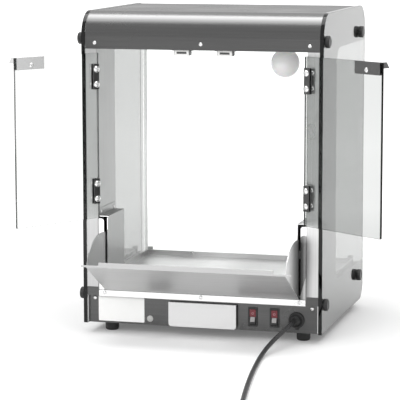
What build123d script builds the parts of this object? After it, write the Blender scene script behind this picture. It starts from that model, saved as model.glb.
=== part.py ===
from build123d import *
import math
import os

# A counter-top warmer for chips: two bent side glasses, a dark steel hood and base, a clear rear
# pane, two glass doors over a drop-down front flap, and a heated tray with a crumb drawer below it.
#
# Working frame, in millimetres: X across from the mid-plane, Y back from the front edge of the side
# glasses, Z up from their bottom edge. The last step moves every piece so that the origin is the
# bottom centre of the cabinet's box, feet and open doors included, cord left out.

# --- Side glasses
CABINET_WIDTH = 372.0
CABINET_DEPTH = 320.0
GLASS_HEIGHT = 476.0
GLASS_THICK = 6.0
GLASS_TOP_RADIUS = 38.0
GLASS_HEEL_RADIUS = 26.0
GLASS_TOE_RADIUS = 3.0

# --- Sheet metal
SHEET = 1.2
THIN_SHEET = 1.0
SKIN_INSET = 0.8

# --- Hood
HOOD_HEIGHT = 56.0
HOOD_LIP = 22.0
CEILING_DROP = 30.0
CEILING_LEG = 12.0
HOOD_SCREW_RISE = 9.0
HOOD_SCREW_INSET = 15.0

# --- Posts and the C-shaped side plates
POST_WIDTH = 18.0
POST_GUARD_GAP = 4.0
WINDOW_POST_GAP = 18.0
WINDOW_RADIUS = 19.0
WINDOW_SILL_RISE = 5.0

# --- Knobs that clamp the side glasses
KNOB_RADIUS = 9.0
KNOB_LENGTH = 7.4
KNOB_GROOVE = 0.5
KNOB_GROOVES = 24
STUD_RADIUS = 3.0
STUD_REACH = 5.0
STUD_CLEARANCE = 0.05
GLASS_HOLE_CLEARANCE = 0.4
KNOB_FRONT_Y = 11.0
KNOB_REAR_INSET = 52.0
KNOB_LOW_Z = 45.0
KNOB_DROP = 41.0

# --- Base
BASE_HEIGHT = 57.0
SILL_DROP = 4.5
STRIP_HEIGHT = 12.0
PANEL_RECESS = 7.0
SHELF_DEPTH = 12.0
SHIELD_DROP = 2.5
SHIELD_FRONT = 40.0
SHIELD_FLANGE = 9.0
LEDGE_HEIGHT = 9.2
LEDGE_SIDE_GAP = 1.0
LEDGE_SCREW_INSET = 9.0
PANEL_SCREW_INSET = 10.2
PANEL_SCREW_DROP = 6.2

# --- Feet
FOOT_HEIGHT = 15.8
FOOT_RADIUS = 10.5
FOOT_EDGE = 3.0
FOOT_SIDE_INSET = 35.0
FOOT_FRONT_Y = 33.0
FOOT_REAR_INSET = 33.0
FOOT_SCREW_DEPTH = 8.0

# --- Flap guards, the slim boxes on both sides of the flap
GUARD_WIDTH = 15.0
GUARD_FRONT_Y = 2.5
GUARD_CHEEK_GAP = 3.2
GUARD_FLOOR_DROP = 2.5
GUARD_HEADROOM = 2.0
GUARD_SLOT = 4.8
GUARD_WING = 11.0
GUARD_CORNER = 4.0
GUARD_NOTCH = 13.0
GUARD_FLANGE_RISE = 3.0

# --- Front flap
PIVOT_Y = 5.0
PIVOT_RISE = 4.0
FLAP_HEIGHT = 107.5
FLAP_STANDOFF = 5.9
FLAP_SHEET = 1.0
FLAP_HEEL = 3.5
FLAP_EAR = 7.9
FLAP_EAR_DEPTH = 2.9
FLAP_LIP_DEPTH = 8.0
FLAP_LIP_INSET = 18.6
FLAP_HEM = 3.2
FLAP_OPEN_ANGLE = 60.7
CHEEK_GAP = 1.9
CHEEK_RADIUS = 90.0
CHEEK_TOP_WIDTH = 20.3
CHEEK_LOW_WIDTH = 77.3
CHEEK_HEEL = 3.0
BOSS_RADIUS = 3.6
PIVOT_RADIUS = 1.5
PIN_CLEARANCE = 0.05
PIVOT_HEAD = 2.6
STOP_WIDTH = 5.0
STOP_HEIGHT = 12.0
STOP_RISE = 63.5
MOVING_GAP = 0.3

# --- Doors
DOOR_THICK = 4.0
DOOR_TOP_GAP = 5.3
DOOR_FLAP_GAP = 0.9
DOOR_MID_GAP = 2.0
DOOR_HINGE_GAP = 0.8
DOOR_CORNER = 1.5
LEFT_DOOR_ANGLE = 120.5
RIGHT_DOOR_ANGLE = 144.8

# --- Door hinges
KNUCKLE_RADIUS = 2.2
HINGE_PIN_RADIUS = 1.0
HINGE_HEIGHT = 38.0
UPPER_HINGE_DROP = 41.0
LOWER_HINGE_RISE = 41.1
LEAF_THICK = 1.2
LEAF_REACH = 12.0
CLAMP_THICK = 1.5
HINGE_BOLT_PITCH = 22.8
HINGE_BOLT_OFFSET = 6.6
HINGE_BOLT_RADIUS = 2.0
DOME_RADIUS = 5.2
DOME_HEIGHT = 3.4
HINGE_SCREW_RADIUS = 2.6

# --- Door handles and magnetic catches
HANDLE_SHEET = 1.2
HANDLE_WIDTH = 51.0
HANDLE_HEIGHT = 18.0
TAB_REACH = 13.8
TAB_HEIGHT = 8.6
TAB_SLANT = 5.4
HANDLE_SCREW_INSET = 29.5
HANDLE_SCREW_DROP = 12.0
HANDLE_INSET = 2.5
CATCH_WIDTH = 23.0
CATCH_HEIGHT = 8.5
CATCH_DEPTH = 14.0
CATCH_OFFSET = 33.1
CATCH_PAIR_SHIFT = 2.0
MAGNET_WIDTH = 15.0
MAGNET_HEIGHT = 3.0
MAGNET_DEPTH = 9.0
BRACKET_THICK = 1.2
BRACKET_EAR = 4.5

# --- Lamp
LAMP_SIDE_GAP = 86.0
LAMP_Y = 150.0
BULB_RADIUS = 22.3
BULB_DROP = 53.7
NECK_RADIUS = 6.8
NECK_LENGTH = 6.0
CAP_LENGTH = 24.0
CAP_CONTACT = 2.0
HOLDER_RADIUS = 14.0
HOLDER_SKIRT = 20.0
HOLDER_RISE = 22.0
HOLDER_COLLAR = 4.0

# --- Rear pane
PANE_THICK = 4.0
PANE_INSET = 32.0
PANE_TUCK = 20.0
PANE_SIDE_GAP = 1.3
CLIP_SIZE = 8.0
CLIP_THICK = 1.4
CLIP_INSET = 13.0

# --- Food tray
TRAY_PAD = 1.9
TRAY_DEPTH = 9.0
TRAY_RIM = 2.0
TRAY_SIDE_GAP = 6.8
TRAY_NECK_GAP = 2.0
TRAY_FRONT_Y = 10.0
TRAY_POST_GAP = 3.0
TRAY_PANE_GAP = 2.0
PAD_RADIUS = 3.2
REST_GAP = 0.1

# --- Crumb drawer
DRAWER_X = 1.75
DRAWER_FRONT_WIDTH = 105.5
DRAWER_TOP_GAP = 4.8
DRAWER_LENGTH = 200.0
DRAWER_HEADROOM = 12.0
DRAWER_SIDE_INSET = 4.0
DRAWER_LIP = 5.0
DRAWER_CORNER = 4.5
DRAWER_CUT_MARGIN = 2.0
RUNNER_WIDTH = 8.0
RUNNER_HEIGHT = 16.0

# --- Rocker switches
HEAT_SWITCH_INSET = 100.9
LIGHT_SWITCH_INSET = 67.6
SWITCH_DROP = 23.0
BEZEL_WIDTH = 14.6
BEZEL_HEIGHT = 29.0
BEZEL_RISE = 1.5
SWITCH_DEPTH = 24.0
BEZEL_SIDE = 2.6
BEZEL_END = 3.5
BEZEL_LAP = 1.2
ROCKER_ANGLE = 7.0
ROCKER_PIVOT_DEPTH = 1.2
ROCKER_HOLLOW = 2.0
ROCKER_RISE = 3.6
ROCKER_BACK = 4.0
TRUNNION_RADIUS = 1.0
TRUNNION_LENGTH = 0.9

# --- Small things on the control panel
LABEL_INSET = 52.5
LABEL_DROP = 22.3
LABEL_WIDTH = 73.0
LABEL_HEIGHT = 38.0
LABEL_THICK = 0.5
CAP_INSET = 98.0
CAP_Z = 10.5
CAP_RADIUS = 4.9
CAP_RISE = 1.6
GLAND_INSET = 34.0
GLAND_Z = 20.3
GLAND_NOSE_X = -1.5
GLAND_NOSE_Y = -15.0
GLAND_NOSE_Z = 0.7
GLAND_FLANGE_RADIUS = 12.2
GLAND_FLANGE_THICK = 4.0
GLAND_NOSE_RADIUS = 5.2
GLAND_BODY_RADIUS = 7.4
GLAND_TAB = 5.0
GLAND_NUT = 5.0

# --- Heating and wiring
HEATER_RADIUS = 3.2
HEATER_RISE = 7.5
HEATER_SIDE_GAP = 33.8
HEATER_LEGS = 6
HEATER_FRONT_GAP = 12.0
HEATER_REAR_GAP = 26.0
HEATER_BEND = 24.0
HEATER_TAIL = 14.0
CUTOUT_RADIUS = 8.0
CUTOUT_HEIGHT = 7.0
CUTOUT_SIDE = 88.0
CUTOUT_Y = 200.0
TERMINAL_INSET = 32.0
TERMINAL_Y = 62.0
TERMINAL_SIZE = 18.0
TERMINAL_LENGTH = 30.0
TERMINAL_HEIGHT = 14.0
WIRE_RADIUS = 1.1
CLIMB_INSET = 20.0
FEED_STRAIGHT = 8.0

# --- Screws and rivets
SCREW_RADIUS = 1.6
SCREW_HEAD_RADIUS = 3.0
SCREW_HEAD = 1.6
SCREW_LENGTH = 5.0
RIVET_RADIUS = 1.6
RIVET_HEAD_RADIUS = 2.6
RIVET_HEAD = 1.0
RIVET_FRONT_Y = 13.0
RIVET_REAR_Y = 75.0
RIVET_DROP = 6.0

# --- Cord, lying on the surface that the feet stand on
CORD_RADIUS = 3.35
COIL_X = 121.0
COIL_Y = -475.0
COIL_RADIUS = 36.5
COIL_ENTRY = 44.5
COIL_WIDTH = 24.0
COIL_HEIGHT = 13.4
COIL_EDGE = 3.0
TIE_WIDTH = 9.0
TIE_THICK = 1.2
PLUG_RADIUS = 18.0
PLUG_LENGTH = 34.0
PLUG_NECK = 22.0
PLUG_NECK_RADIUS = 6.0
PLUG_PIN_RADIUS = 2.4
PLUG_PIN_LENGTH = 19.0
PLUG_PIN_SPACING = 19.0

# --- Places that follow from the sizes above
GLASS_IN = CABINET_WIDTH / 2 - GLASS_THICK
PLATE_IN = GLASS_IN - SHEET
POST_IN = GLASS_IN - POST_WIDTH
FRAME_INSET = SKIN_INSET + SHEET
FRONT_Y = SKIN_INSET
REAR_Y = CABINET_DEPTH - SKIN_INSET
HOOD_Z = GLASS_HEIGHT - HOOD_HEIGHT
KNOB_HIGH_Z = GLASS_HEIGHT - KNOB_DROP
KNOB_REAR_Y = CABINET_DEPTH - KNOB_REAR_INSET
PANE_Y = CABINET_DEPTH - PANE_INSET
PANE_BACK_Y = PANE_Y + PANE_THICK
CEILING_Z = GLASS_HEIGHT - CEILING_DROP
SILL_Z = BASE_HEIGHT - SILL_DROP
PANEL_TOP = BASE_HEIGHT - STRIP_HEIGHT
PANEL_BACK = PANEL_RECESS + SHEET
TABLE_Z = SKIN_INSET - FOOT_HEIGHT
FOOT_X = CABINET_WIDTH / 2 - FOOT_SIDE_INSET
FOOT_REAR_Y = CABINET_DEPTH - FOOT_REAR_INSET
SHIELD_TOP = PANEL_TOP - SHIELD_DROP
SHIELD_HEIGHT = SHIELD_TOP - SHEET
WINDOW_SILL = BASE_HEIGHT + WINDOW_SILL_RISE
PIVOT_Z = SILL_Z + PIVOT_RISE
FLAP_TOP = PIVOT_Z + FLAP_HEIGHT
FLAP_FRONT_Y = PIVOT_Y - FLAP_STANDOFF
FLAP_BACK_Y = FLAP_FRONT_Y + FLAP_SHEET
STOP_Z = PIVOT_Z + STOP_RISE


def arc_centre(start, end, radius):
    """The centre of an arc through two points (Y, Z), in front of the line between them."""
    run_y = end[0] - start[0]
    run_z = end[1] - start[1]
    chord = math.hypot(run_y, run_z)
    depth = math.sqrt(radius**2 - chord**2 / 4)
    return ((start[0] + end[0]) / 2 + run_z / chord * depth, (start[1] + end[1]) / 2 - run_y / chord * depth)


CHEEK_HIGH = (FLAP_BACK_Y + CHEEK_TOP_WIDTH, FLAP_TOP - FLAP_SHEET - 0.1)
CHEEK_LOW = (FLAP_BACK_Y + CHEEK_LOW_WIDTH, PIVOT_Z - CHEEK_HEEL)
CHEEK_CENTRE = arc_centre(CHEEK_HIGH, CHEEK_LOW, CHEEK_RADIUS)
GUARD_REAR_Y = CHEEK_CENTRE[0] + CHEEK_RADIUS + GUARD_CHEEK_GAP + THIN_SHEET
GUARD_FLOOR = SILL_Z - GUARD_FLOOR_DROP
GUARD_TOP = FLAP_TOP + GUARD_HEADROOM
POST_REAR_Y = GUARD_REAR_Y + POST_GUARD_GAP
WINDOW_FRONT = POST_REAR_Y + WINDOW_POST_GAP

GUARD_IN = POST_IN - GUARD_WIDTH
GUARD_WALL = GUARD_IN + THIN_SHEET
GUARD_WING_TOP = GUARD_TOP + GUARD_WING
FLANGE_IN = GUARD_WALL + GUARD_SLOT
CHEEK_IN = GUARD_WALL + CHEEK_GAP
CHEEK_OUT = CHEEK_IN + SHEET

HINGE_Y = FRONT_Y - KNUCKLE_RADIUS - MOVING_GAP
HINGE_X = POST_IN + 0.2
DOOR_FRONT_Y = FRONT_Y
DOOR_BACK_Y = DOOR_FRONT_Y + DOOR_THICK
DOOR_OUT = POST_IN - DOOR_HINGE_GAP
DOOR_BOTTOM = FLAP_TOP + DOOR_FLAP_GAP
DOOR_TOP = HOOD_Z - DOOR_TOP_GAP
HINGE_HEIGHTS = (DOOR_BOTTOM + LOWER_HINGE_RISE, HOOD_Z - UPPER_HINGE_DROP)
CATCH_Y = DOOR_BACK_Y + HANDLE_SHEET + MOVING_GAP
BOLT_X = HINGE_X - HINGE_BOLT_OFFSET

TRAY_BOTTOM = BASE_HEIGHT + TRAY_PAD + REST_GAP
TRAY_TOP = TRAY_BOTTOM + TRAY_DEPTH
TRAY_HALF = PLATE_IN - TRAY_SIDE_GAP
TRAY_NECK = GUARD_IN - TRAY_NECK_GAP
TRAY_STEP_Y = POST_REAR_Y + TRAY_POST_GAP
TRAY_REAR_Y = PANE_Y - TRAY_PANE_GAP
DRAWER_FLOOR = FRAME_INSET + MOVING_GAP
DRAWER_HALF = DRAWER_FRONT_WIDTH / 2 - DRAWER_SIDE_INSET
DRAWER_TOP = PANEL_TOP - SHEET - DRAWER_TOP_GAP - THIN_SHEET
DRAWER_WALL_TOP = SHIELD_HEIGHT - DRAWER_HEADROOM
HEATER_Z = SHIELD_TOP + HEATER_RISE
HEATER_PITCH = 2 * (PLATE_IN - HEATER_SIDE_GAP) / (HEATER_LEGS - 1)
HEATER_FRONT_Y = TRAY_STEP_Y + HEATER_FRONT_GAP
HEATER_REAR_Y = PANE_Y - HEATER_REAR_GAP
LAMP_X = GLASS_IN - LAMP_SIDE_GAP
BULB_Z = CEILING_Z - BULB_DROP
NECK_TOP = BULB_Z + BULB_RADIUS + NECK_LENGTH
HEAT_SWITCH_X = GLASS_IN - HEAT_SWITCH_INSET
LIGHT_SWITCH_X = GLASS_IN - LIGHT_SWITCH_INSET
SWITCH_Z = PANEL_TOP - SWITCH_DROP
ROCKER_WIDTH = BEZEL_WIDTH - 2 * BEZEL_SIDE
ROCKER_HEIGHT = BEZEL_HEIGHT - 2 * BEZEL_END
LABEL_X = LABEL_INSET - GLASS_IN
LABEL_Z = PANEL_TOP - LABEL_DROP
CAP_X = CAP_INSET - GLASS_IN
GLAND_X = GLASS_IN - GLAND_INSET
TERMINAL_X = GLASS_IN - TERMINAL_INSET
ROCKER_Y = PANEL_RECESS + ROCKER_PIVOT_DEPTH
CORD_Z = TABLE_Z + CORD_RADIUS

# The route of the lead, from the gland's nose to the coil, and from the coil to the plug.
CORD_ROUTE = [
    (144.5, -8.0, 21.0),
    (142.8, -22.0, 18.5),
    (136.8, -37.0, 12.4),
    (127.6, -52.5, 3.6),
    (120.0, -74.0, -6.0),
    (119.0, -108.0, CORD_Z),
    (124.8, -158.0, CORD_Z),
    (132.2, -213.0, CORD_Z),
    (141.0, -270.0, CORD_Z),
    (151.0, -328.0, CORD_Z),
    (161.8, -386.0, CORD_Z),
    (COIL_X + COIL_ENTRY, COIL_Y, CORD_Z),
]
LEAD_ROUTE = [
    (COIL_X, COIL_Y - COIL_ENTRY, CORD_Z),
    (96.0, -521.0, CORD_Z),
    (72.0, -528.5, CORD_Z),
    (51.0, -542.5, -8.5),
    (34.5, -562.5, -0.5),
    (24.0, -587.5, TABLE_Z + PLUG_RADIUS),
]


# ---------------------------------------------------------------- helpers

def block(x, y, z):
    """A box between two limits on each axis."""
    centre = ((x[0] + x[1]) / 2, (y[0] + y[1]) / 2, (z[0] + z[1]) / 2)
    return Pos(*centre) * Box(x[1] - x[0], y[1] - y[0], z[1] - z[0])


def rod(start, direction, radius, length):
    """A round bar that starts at a point and runs along a direction."""
    along = (Align.CENTER, Align.CENTER, Align.MIN)
    return Plane(origin=start, z_dir=direction) * Cylinder(radius, length, align=along)


def dome(start, direction, radius, height):
    """A button head: a disc under a shallow cap of a ball."""
    rim = height * 0.35
    crown = height - rim
    ball = (radius**2 + crown**2) / (2 * crown)
    plane = Plane(origin=start, z_dir=direction)
    disc = rod(start, direction, radius, rim)
    limit = plane * Pos(0, 0, rim + crown / 2) * Cylinder(radius, crown)
    return disc + (limit & plane * Pos(0, 0, height - ball) * Sphere(ball))


def screw(start, inward, length=SCREW_LENGTH):
    """A pan-head screw whose head sits on a face and whose shank runs inward."""
    outward = tuple(-part for part in inward)
    return dome(start, outward, SCREW_HEAD_RADIUS, SCREW_HEAD) + rod(start, inward, SCREW_RADIUS, length)


def mirrored(shape):
    """The same piece on the other side of the cabinet's mid-plane."""
    return mirror(shape, about=Plane.YZ)


def both_sides(shape):
    """A piece and its twin on the other side."""
    return [shape, mirrored(shape)]


def group(shapes):
    """Several separate pieces that share one node."""
    return Compound(children=[solid for shape in shapes for solid in shape.solids()])


def extruded(face, x_start, x_end):
    """A side-view outline (Y, Z) carried across the cabinet between two X limits."""
    return Pos(x_start, 0, 0) * extrude(Plane.YZ * face, amount=x_end - x_start)


def glass_outline(inset):
    """The side glass's outline, moved inward by a distance on every side."""
    y_mid = CABINET_DEPTH / 2
    z_mid = GLASS_HEIGHT / 2
    face = Pos(y_mid, z_mid) * Rectangle(CABINET_DEPTH - 2 * inset, GLASS_HEIGHT - 2 * inset)
    front = [v for v in face.vertices() if v.Y > z_mid]
    heel = [v for v in face.vertices() if v.Y < z_mid and v.X > y_mid]
    toe = [v for v in face.vertices() if v.Y < z_mid and v.X < y_mid]
    face = fillet(front, GLASS_TOP_RADIUS - inset)
    face = fillet(nearest(face, heel[0]), GLASS_HEEL_RADIUS - inset)
    return fillet(nearest(face, toe[0]), GLASS_TOE_RADIUS - inset * 0.9)


def nearest(face, target):
    """The one corner of a face that lies where another corner was."""
    return [v for v in face.vertices() if abs(v.X - target.X) < 0.01 and abs(v.Y - target.Y) < 0.01]


def wrap(z_low, z_high):
    """The sheet that follows the glass outline, kept between two heights."""
    ring = glass_outline(SKIN_INSET) - glass_outline(FRAME_INSET)
    window = Pos(CABINET_DEPTH / 2, (z_low + z_high) / 2) * Rectangle(CABINET_DEPTH, z_high - z_low)
    return extruded(ring & window, -GLASS_IN, GLASS_IN)


# ---------------------------------------------------------------- side glasses and frame

def knob_places():
    """Where the four knobs of one side sit, as (Y, Z)."""
    return [(y, z) for y in (KNOB_FRONT_Y, KNOB_REAR_Y) for z in (KNOB_LOW_Z, KNOB_HIGH_Z)]


def side_glass():
    """The right-hand side glass with its four knob holes."""
    glass = extruded(glass_outline(0), GLASS_IN, CABINET_WIDTH / 2)
    for y, z in knob_places():
        glass -= rod((GLASS_IN - 1, y, z), (1, 0, 0), STUD_RADIUS + GLASS_HOLE_CLEARANCE, GLASS_THICK + 2)
    return glass


def side_plate():
    """The right-hand steel plate behind the glass: C-shaped, its window open to the rear."""
    height = HOOD_Z - WINDOW_SILL
    length = CABINET_DEPTH - WINDOW_FRONT
    window = Pos(WINDOW_FRONT + length / 2, WINDOW_SILL + height / 2) * Rectangle(length, height)
    front = [v for v in window.vertices() if v.X < WINDOW_FRONT + 1]
    plate = extruded(glass_outline(FRAME_INSET) - fillet(front, WINDOW_RADIUS), PLATE_IN, GLASS_IN)
    for y, z in knob_places():
        plate -= rod((PLATE_IN - 1, y, z), (1, 0, 0), STUD_RADIUS, SHEET + 2)
    return plate


def knob_stud(y, z):
    """A stud fixed flush in the side plate, through the glass and into its knob."""
    return rod((PLATE_IN, y, z), (1, 0, 0), STUD_RADIUS, SHEET + GLASS_THICK + STUD_REACH)


def glass_knob(y, z):
    """A grooved thumb knob with a blind bore for its stud."""
    face = (CABINET_WIDTH / 2, y, z)
    knob = rod(face, (1, 0, 0), KNOB_RADIUS, KNOB_LENGTH)
    knob = chamfer(knob.edges().filter_by(GeomType.CIRCLE).sort_by(Axis.X)[-1], 0.8)
    for index in range(KNOB_GROOVES):
        turn = 2 * math.pi * index / KNOB_GROOVES
        y_cut = y + KNOB_RADIUS * math.cos(turn)
        z_cut = z + KNOB_RADIUS * math.sin(turn)
        knob -= rod((CABINET_WIDTH / 2 - 1, y_cut, z_cut), (1, 0, 0), KNOB_GROOVE, KNOB_LENGTH + 2)
    return knob - rod(face, (1, 0, 0), STUD_RADIUS + STUD_CLEARANCE, STUD_REACH + MOVING_GAP)


def post():
    """The right-hand front post: front flange, inner wall and rear closure of one folded sheet."""
    height = (BASE_HEIGHT, HOOD_Z)
    flange = block((POST_IN, GLASS_IN), (FRONT_Y, FRAME_INSET), height)
    wall = block((POST_IN, POST_IN + SHEET), (FRONT_Y, POST_REAR_Y), height)
    closure = block((POST_IN, PLATE_IN), (POST_REAR_Y - SHEET, POST_REAR_Y), height)
    return flange + wall + closure


# ---------------------------------------------------------------- hood

def hood_cover():
    """The hood: one sheet bent over front, roof and rear, with a lip turned in at both bottoms."""
    cover = wrap(HOOD_Z, GLASS_HEIGHT)
    lip = (HOOD_Z, HOOD_Z + SHEET)
    front_lip = block((-PLATE_IN, PLATE_IN), (FRONT_Y, FRONT_Y + SHEET + HOOD_LIP), lip)
    rear_lip = block((-PLATE_IN, PLATE_IN), (PANE_BACK_Y + MOVING_GAP, REAR_Y), lip)
    return cover + front_lip + rear_lip - group(hood_screws())


def hood_ceiling():
    """The panel that closes the hood from below, with legs turned down on all four sides."""
    front_y = FRAME_INSET + HOOD_LIP - SHEET
    rear_y = PANE_Y - MOVING_GAP
    across = (-PLATE_IN, PLATE_IN)
    panel = block(across, (front_y, rear_y), (CEILING_Z, CEILING_Z + SHEET))
    panel += block(across, (front_y, front_y + SHEET), (HOOD_Z + SHEET, CEILING_Z))
    panel += block(across, (rear_y - SHEET, rear_y), (HOOD_Z + SHEET, CEILING_Z))
    leg = block((PLATE_IN - SHEET, PLATE_IN), (front_y, rear_y), (CEILING_Z - CEILING_LEG, CEILING_Z))
    panel += leg
    panel += mirrored(leg)
    panel -= rod((LAMP_X, LAMP_Y, CEILING_Z - 1), (0, 0, 1), HOLDER_RADIUS + STUD_CLEARANCE, SHEET + 2)
    return panel - wire_hole(CEILING_Z)


def hood_screws():
    """Three screws across the front of the hood and three across its rear."""
    places = (-GLASS_IN + HOOD_SCREW_INSET, 0, GLASS_IN - HOOD_SCREW_INSET)
    z = HOOD_Z + HOOD_SCREW_RISE
    front = [screw((x, FRONT_Y, z), (0, 1, 0)) for x in places]
    rear = [screw((x, REAR_Y, z), (0, -1, 0)) for x in places]
    return front + rear


# ---------------------------------------------------------------- base

def base_pan():
    """The underside and lower rear of one bent sheet, with a shelf turned in under the rear pane."""
    rear_top = BASE_HEIGHT + THIN_SHEET
    pan = wrap(0, rear_top)
    pan -= block((-GLASS_IN - 1, GLASS_IN + 1), (-1, PANEL_RECESS), (-1, rear_top + 1))
    shelf_y = (PANE_Y - 2 * CLIP_THICK, REAR_Y)
    pan += block((-PLATE_IN, PLATE_IN), shelf_y, (rear_top - SHEET, rear_top))
    for x in (-FOOT_X, FOOT_X):
        for y in (FOOT_FRONT_Y, FOOT_REAR_Y):
            pan -= rod((x, y, 0), (0, 0, 1), SCREW_RADIUS, FRAME_INSET + 1)
    return pan


def drawer_opening():
    """The hole that the crumb drawer passes through, as a block in front of the panel."""
    half = DRAWER_FRONT_WIDTH / 2 - DRAWER_CUT_MARGIN
    return block((DRAWER_X - half, DRAWER_X + half), (0, PANEL_BACK + 1), (0, DRAWER_TOP - DRAWER_CUT_MARGIN))


def base_front():
    """The front of the base: a strip, a step back and the control panel with its cut-outs."""
    strip = block((-GLASS_IN, GLASS_IN), (FRONT_Y, FRAME_INSET), (PANEL_TOP - SHEET, SILL_Z))
    ear = block((POST_IN, GLASS_IN), (FRONT_Y, FRAME_INSET), (SILL_Z, BASE_HEIGHT))
    step = block((-PLATE_IN, PLATE_IN), (FRONT_Y, PANEL_BACK), (PANEL_TOP - SHEET, PANEL_TOP))
    panel = block((-PLATE_IN, PLATE_IN), (PANEL_RECESS, PANEL_BACK), (FRAME_INSET, PANEL_TOP))
    shelf_half = GUARD_IN - MOVING_GAP
    shelf_end = FRAME_INSET + SHELF_DEPTH
    shelf = block((-shelf_half, shelf_half), (FRONT_Y, shelf_end), (SILL_Z - SHEET, SILL_Z))
    upstand = (SILL_Z - SHEET, TRAY_BOTTOM - REST_GAP)
    shelf += block((-shelf_half, shelf_half), (shelf_end - SHEET, shelf_end), upstand)
    front = strip + ear + mirrored(ear) + step + panel + shelf
    front -= drawer_opening()
    for x in (HEAT_SWITCH_X, LIGHT_SWITCH_X):
        front -= switch_core(x, PANEL_RECESS - 1, PANEL_BACK + 1)
    gland_hole = (GLAND_X, PANEL_RECESS - 1, GLAND_Z)
    front -= rod(gland_hole, (0, 1, 0), GLAND_BODY_RADIUS, SHEET + 2)
    front -= rod((CAP_X, PANEL_RECESS - 1, CAP_Z), (0, 1, 0), CAP_RADIUS - 1, SHEET + 2)
    return front - group(ledge_screws() + panel_screws())


def ledge_strip():
    """The bright strip screwed on below the flap."""
    half = POST_IN - LEDGE_SIDE_GAP
    strip = block((-half, half), (FRONT_Y - SHEET, FRONT_Y), (SILL_Z - LEDGE_HEIGHT, SILL_Z))
    return strip - group(ledge_screws())


def ledge_screws():
    """Three screws along the bright strip."""
    side = POST_IN - LEDGE_SIDE_GAP - LEDGE_SCREW_INSET
    z = SILL_Z - LEDGE_HEIGHT / 2 + 0.9
    return [screw((x, FRONT_Y - SHEET, z), (0, 1, 0), 2 * SHEET) for x in (-side, 0, side)]


def panel_screws():
    """Two screws in the upper corners of the control panel."""
    side = GLASS_IN - PANEL_SCREW_INSET
    return [screw((x, PANEL_RECESS, PANEL_TOP - PANEL_SCREW_DROP), (0, 1, 0)) for x in (-side, side)]


def tray_rail():
    """The right-hand angle that carries the post and the side of the food tray."""
    along = (FRAME_INSET, PANE_Y - 2 * CLIP_THICK - MOVING_GAP)
    top = block((POST_IN, PLATE_IN), along, (BASE_HEIGHT - SHEET, BASE_HEIGHT))
    side = block((PLATE_IN - SHEET, PLATE_IN), along, (PANEL_TOP, BASE_HEIGHT))
    rail = top + side
    for y in (KNOB_FRONT_Y, KNOB_REAR_Y):
        rail -= rod((PLATE_IN - SHEET - 1, y, KNOB_LOW_Z), (1, 0, 0), STUD_RADIUS + 1, SHEET + 2)
    return rail - wire_hole(BASE_HEIGHT - SHEET)


def tray_pads():
    """Small heat-proof pads on the rails, under the food tray."""
    x = POST_IN + PAD_RADIUS + 0.4
    places = (TRAY_STEP_Y + 10, TRAY_REAR_Y - 14)
    pads = [rod((x, y, BASE_HEIGHT), (0, 0, 1), PAD_RADIUS, TRAY_PAD) for y in places]
    return pads + [mirrored(pad) for pad in pads]


def heat_shield():
    """The plate that carries the heating element, above the drawer and the wiring."""
    span = (SHIELD_FRONT, PANE_Y)
    edge = PLATE_IN - SHEET
    plate = block((-PLATE_IN, PLATE_IN), span, (SHIELD_HEIGHT, SHIELD_TOP))
    flange = block((edge, PLATE_IN), span, (SHIELD_HEIGHT - SHIELD_FLANGE, SHIELD_HEIGHT))
    plate += flange
    plate += mirrored(flange)
    for x in (-heater_x(0), heater_x(0)):
        plate -= rod((x, HEATER_FRONT_Y, SHIELD_HEIGHT - 1), (0, 0, 1), HEATER_RADIUS + 0.6, SHEET + 2)
    return plate - wire_hole(SHIELD_HEIGHT)


def foot(x, y):
    """A black foot, rounded below, with a blind hole for its screw."""
    body = rod((x, y, TABLE_Z), (0, 0, 1), FOOT_RADIUS, FOOT_HEIGHT)
    body = fillet(body.edges().filter_by(GeomType.CIRCLE).sort_by(Axis.Z)[0], FOOT_EDGE)
    return body - rod((x, y, SKIN_INSET), (0, 0, -1), SCREW_RADIUS, FOOT_SCREW_DEPTH + 1)


def feet_places():
    """The four corners where a foot stands."""
    return [(x, y) for x in (-FOOT_X, FOOT_X) for y in (FOOT_FRONT_Y, FOOT_REAR_Y)]


def foot_screws():
    """The screws from inside the base into the feet."""
    return [screw((x, y, FRAME_INSET), (0, 0, -1), SHEET + FOOT_SCREW_DEPTH) for x, y in feet_places()]


# ---------------------------------------------------------------- flap and its guards

def guard():
    """The right-hand guard: a slim box, slotted in front, that the flap's cheek swings into."""
    behind_door = DOOR_BACK_Y + 2 * MOVING_GAP
    along = (GUARD_FRONT_Y, GUARD_REAR_Y)
    step_z = DOOR_BOTTOM - DOOR_FLAP_GAP
    top_z = GUARD_TOP - THIN_SHEET
    inner = block((GUARD_IN, GUARD_WALL), along, (GUARD_FLOOR, step_z))
    inner += block((GUARD_IN, GUARD_WALL), (behind_door, GUARD_REAR_Y), (step_z, top_z))
    inner -= guard_notch()
    top = block((GUARD_IN, POST_IN), (behind_door, GUARD_REAR_Y), (top_z, GUARD_TOP))
    floor = block((GUARD_IN, POST_IN), (FRAME_INSET, GUARD_REAR_Y - GUARD_NOTCH), guard_floor())
    rear = (GUARD_REAR_Y - THIN_SHEET, GUARD_REAR_Y)
    closure = block((GUARD_IN, POST_IN), rear, (GUARD_FLOOR + GUARD_NOTCH, top_z))
    outer_x = (POST_IN - THIN_SHEET, POST_IN)
    outer = block(outer_x, along, (GUARD_FLOOR, step_z))
    outer += block(outer_x, (behind_door + 1, GUARD_REAR_Y), (step_z, GUARD_WING_TOP))
    box = inner + top + floor + closure + outer + guard_flange()
    for y in (RIVET_FRONT_Y, RIVET_REAR_Y):
        place = (POST_IN - THIN_SHEET - 1, y, GUARD_WING_TOP - RIVET_DROP)
        box -= rod(place, (1, 0, 0), RIVET_RADIUS, THIN_SHEET + 2)
    return box - rod((GUARD_IN - 1, PIVOT_Y, PIVOT_Z), (1, 0, 0), PIVOT_RADIUS, THIN_SHEET + 2)


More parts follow.
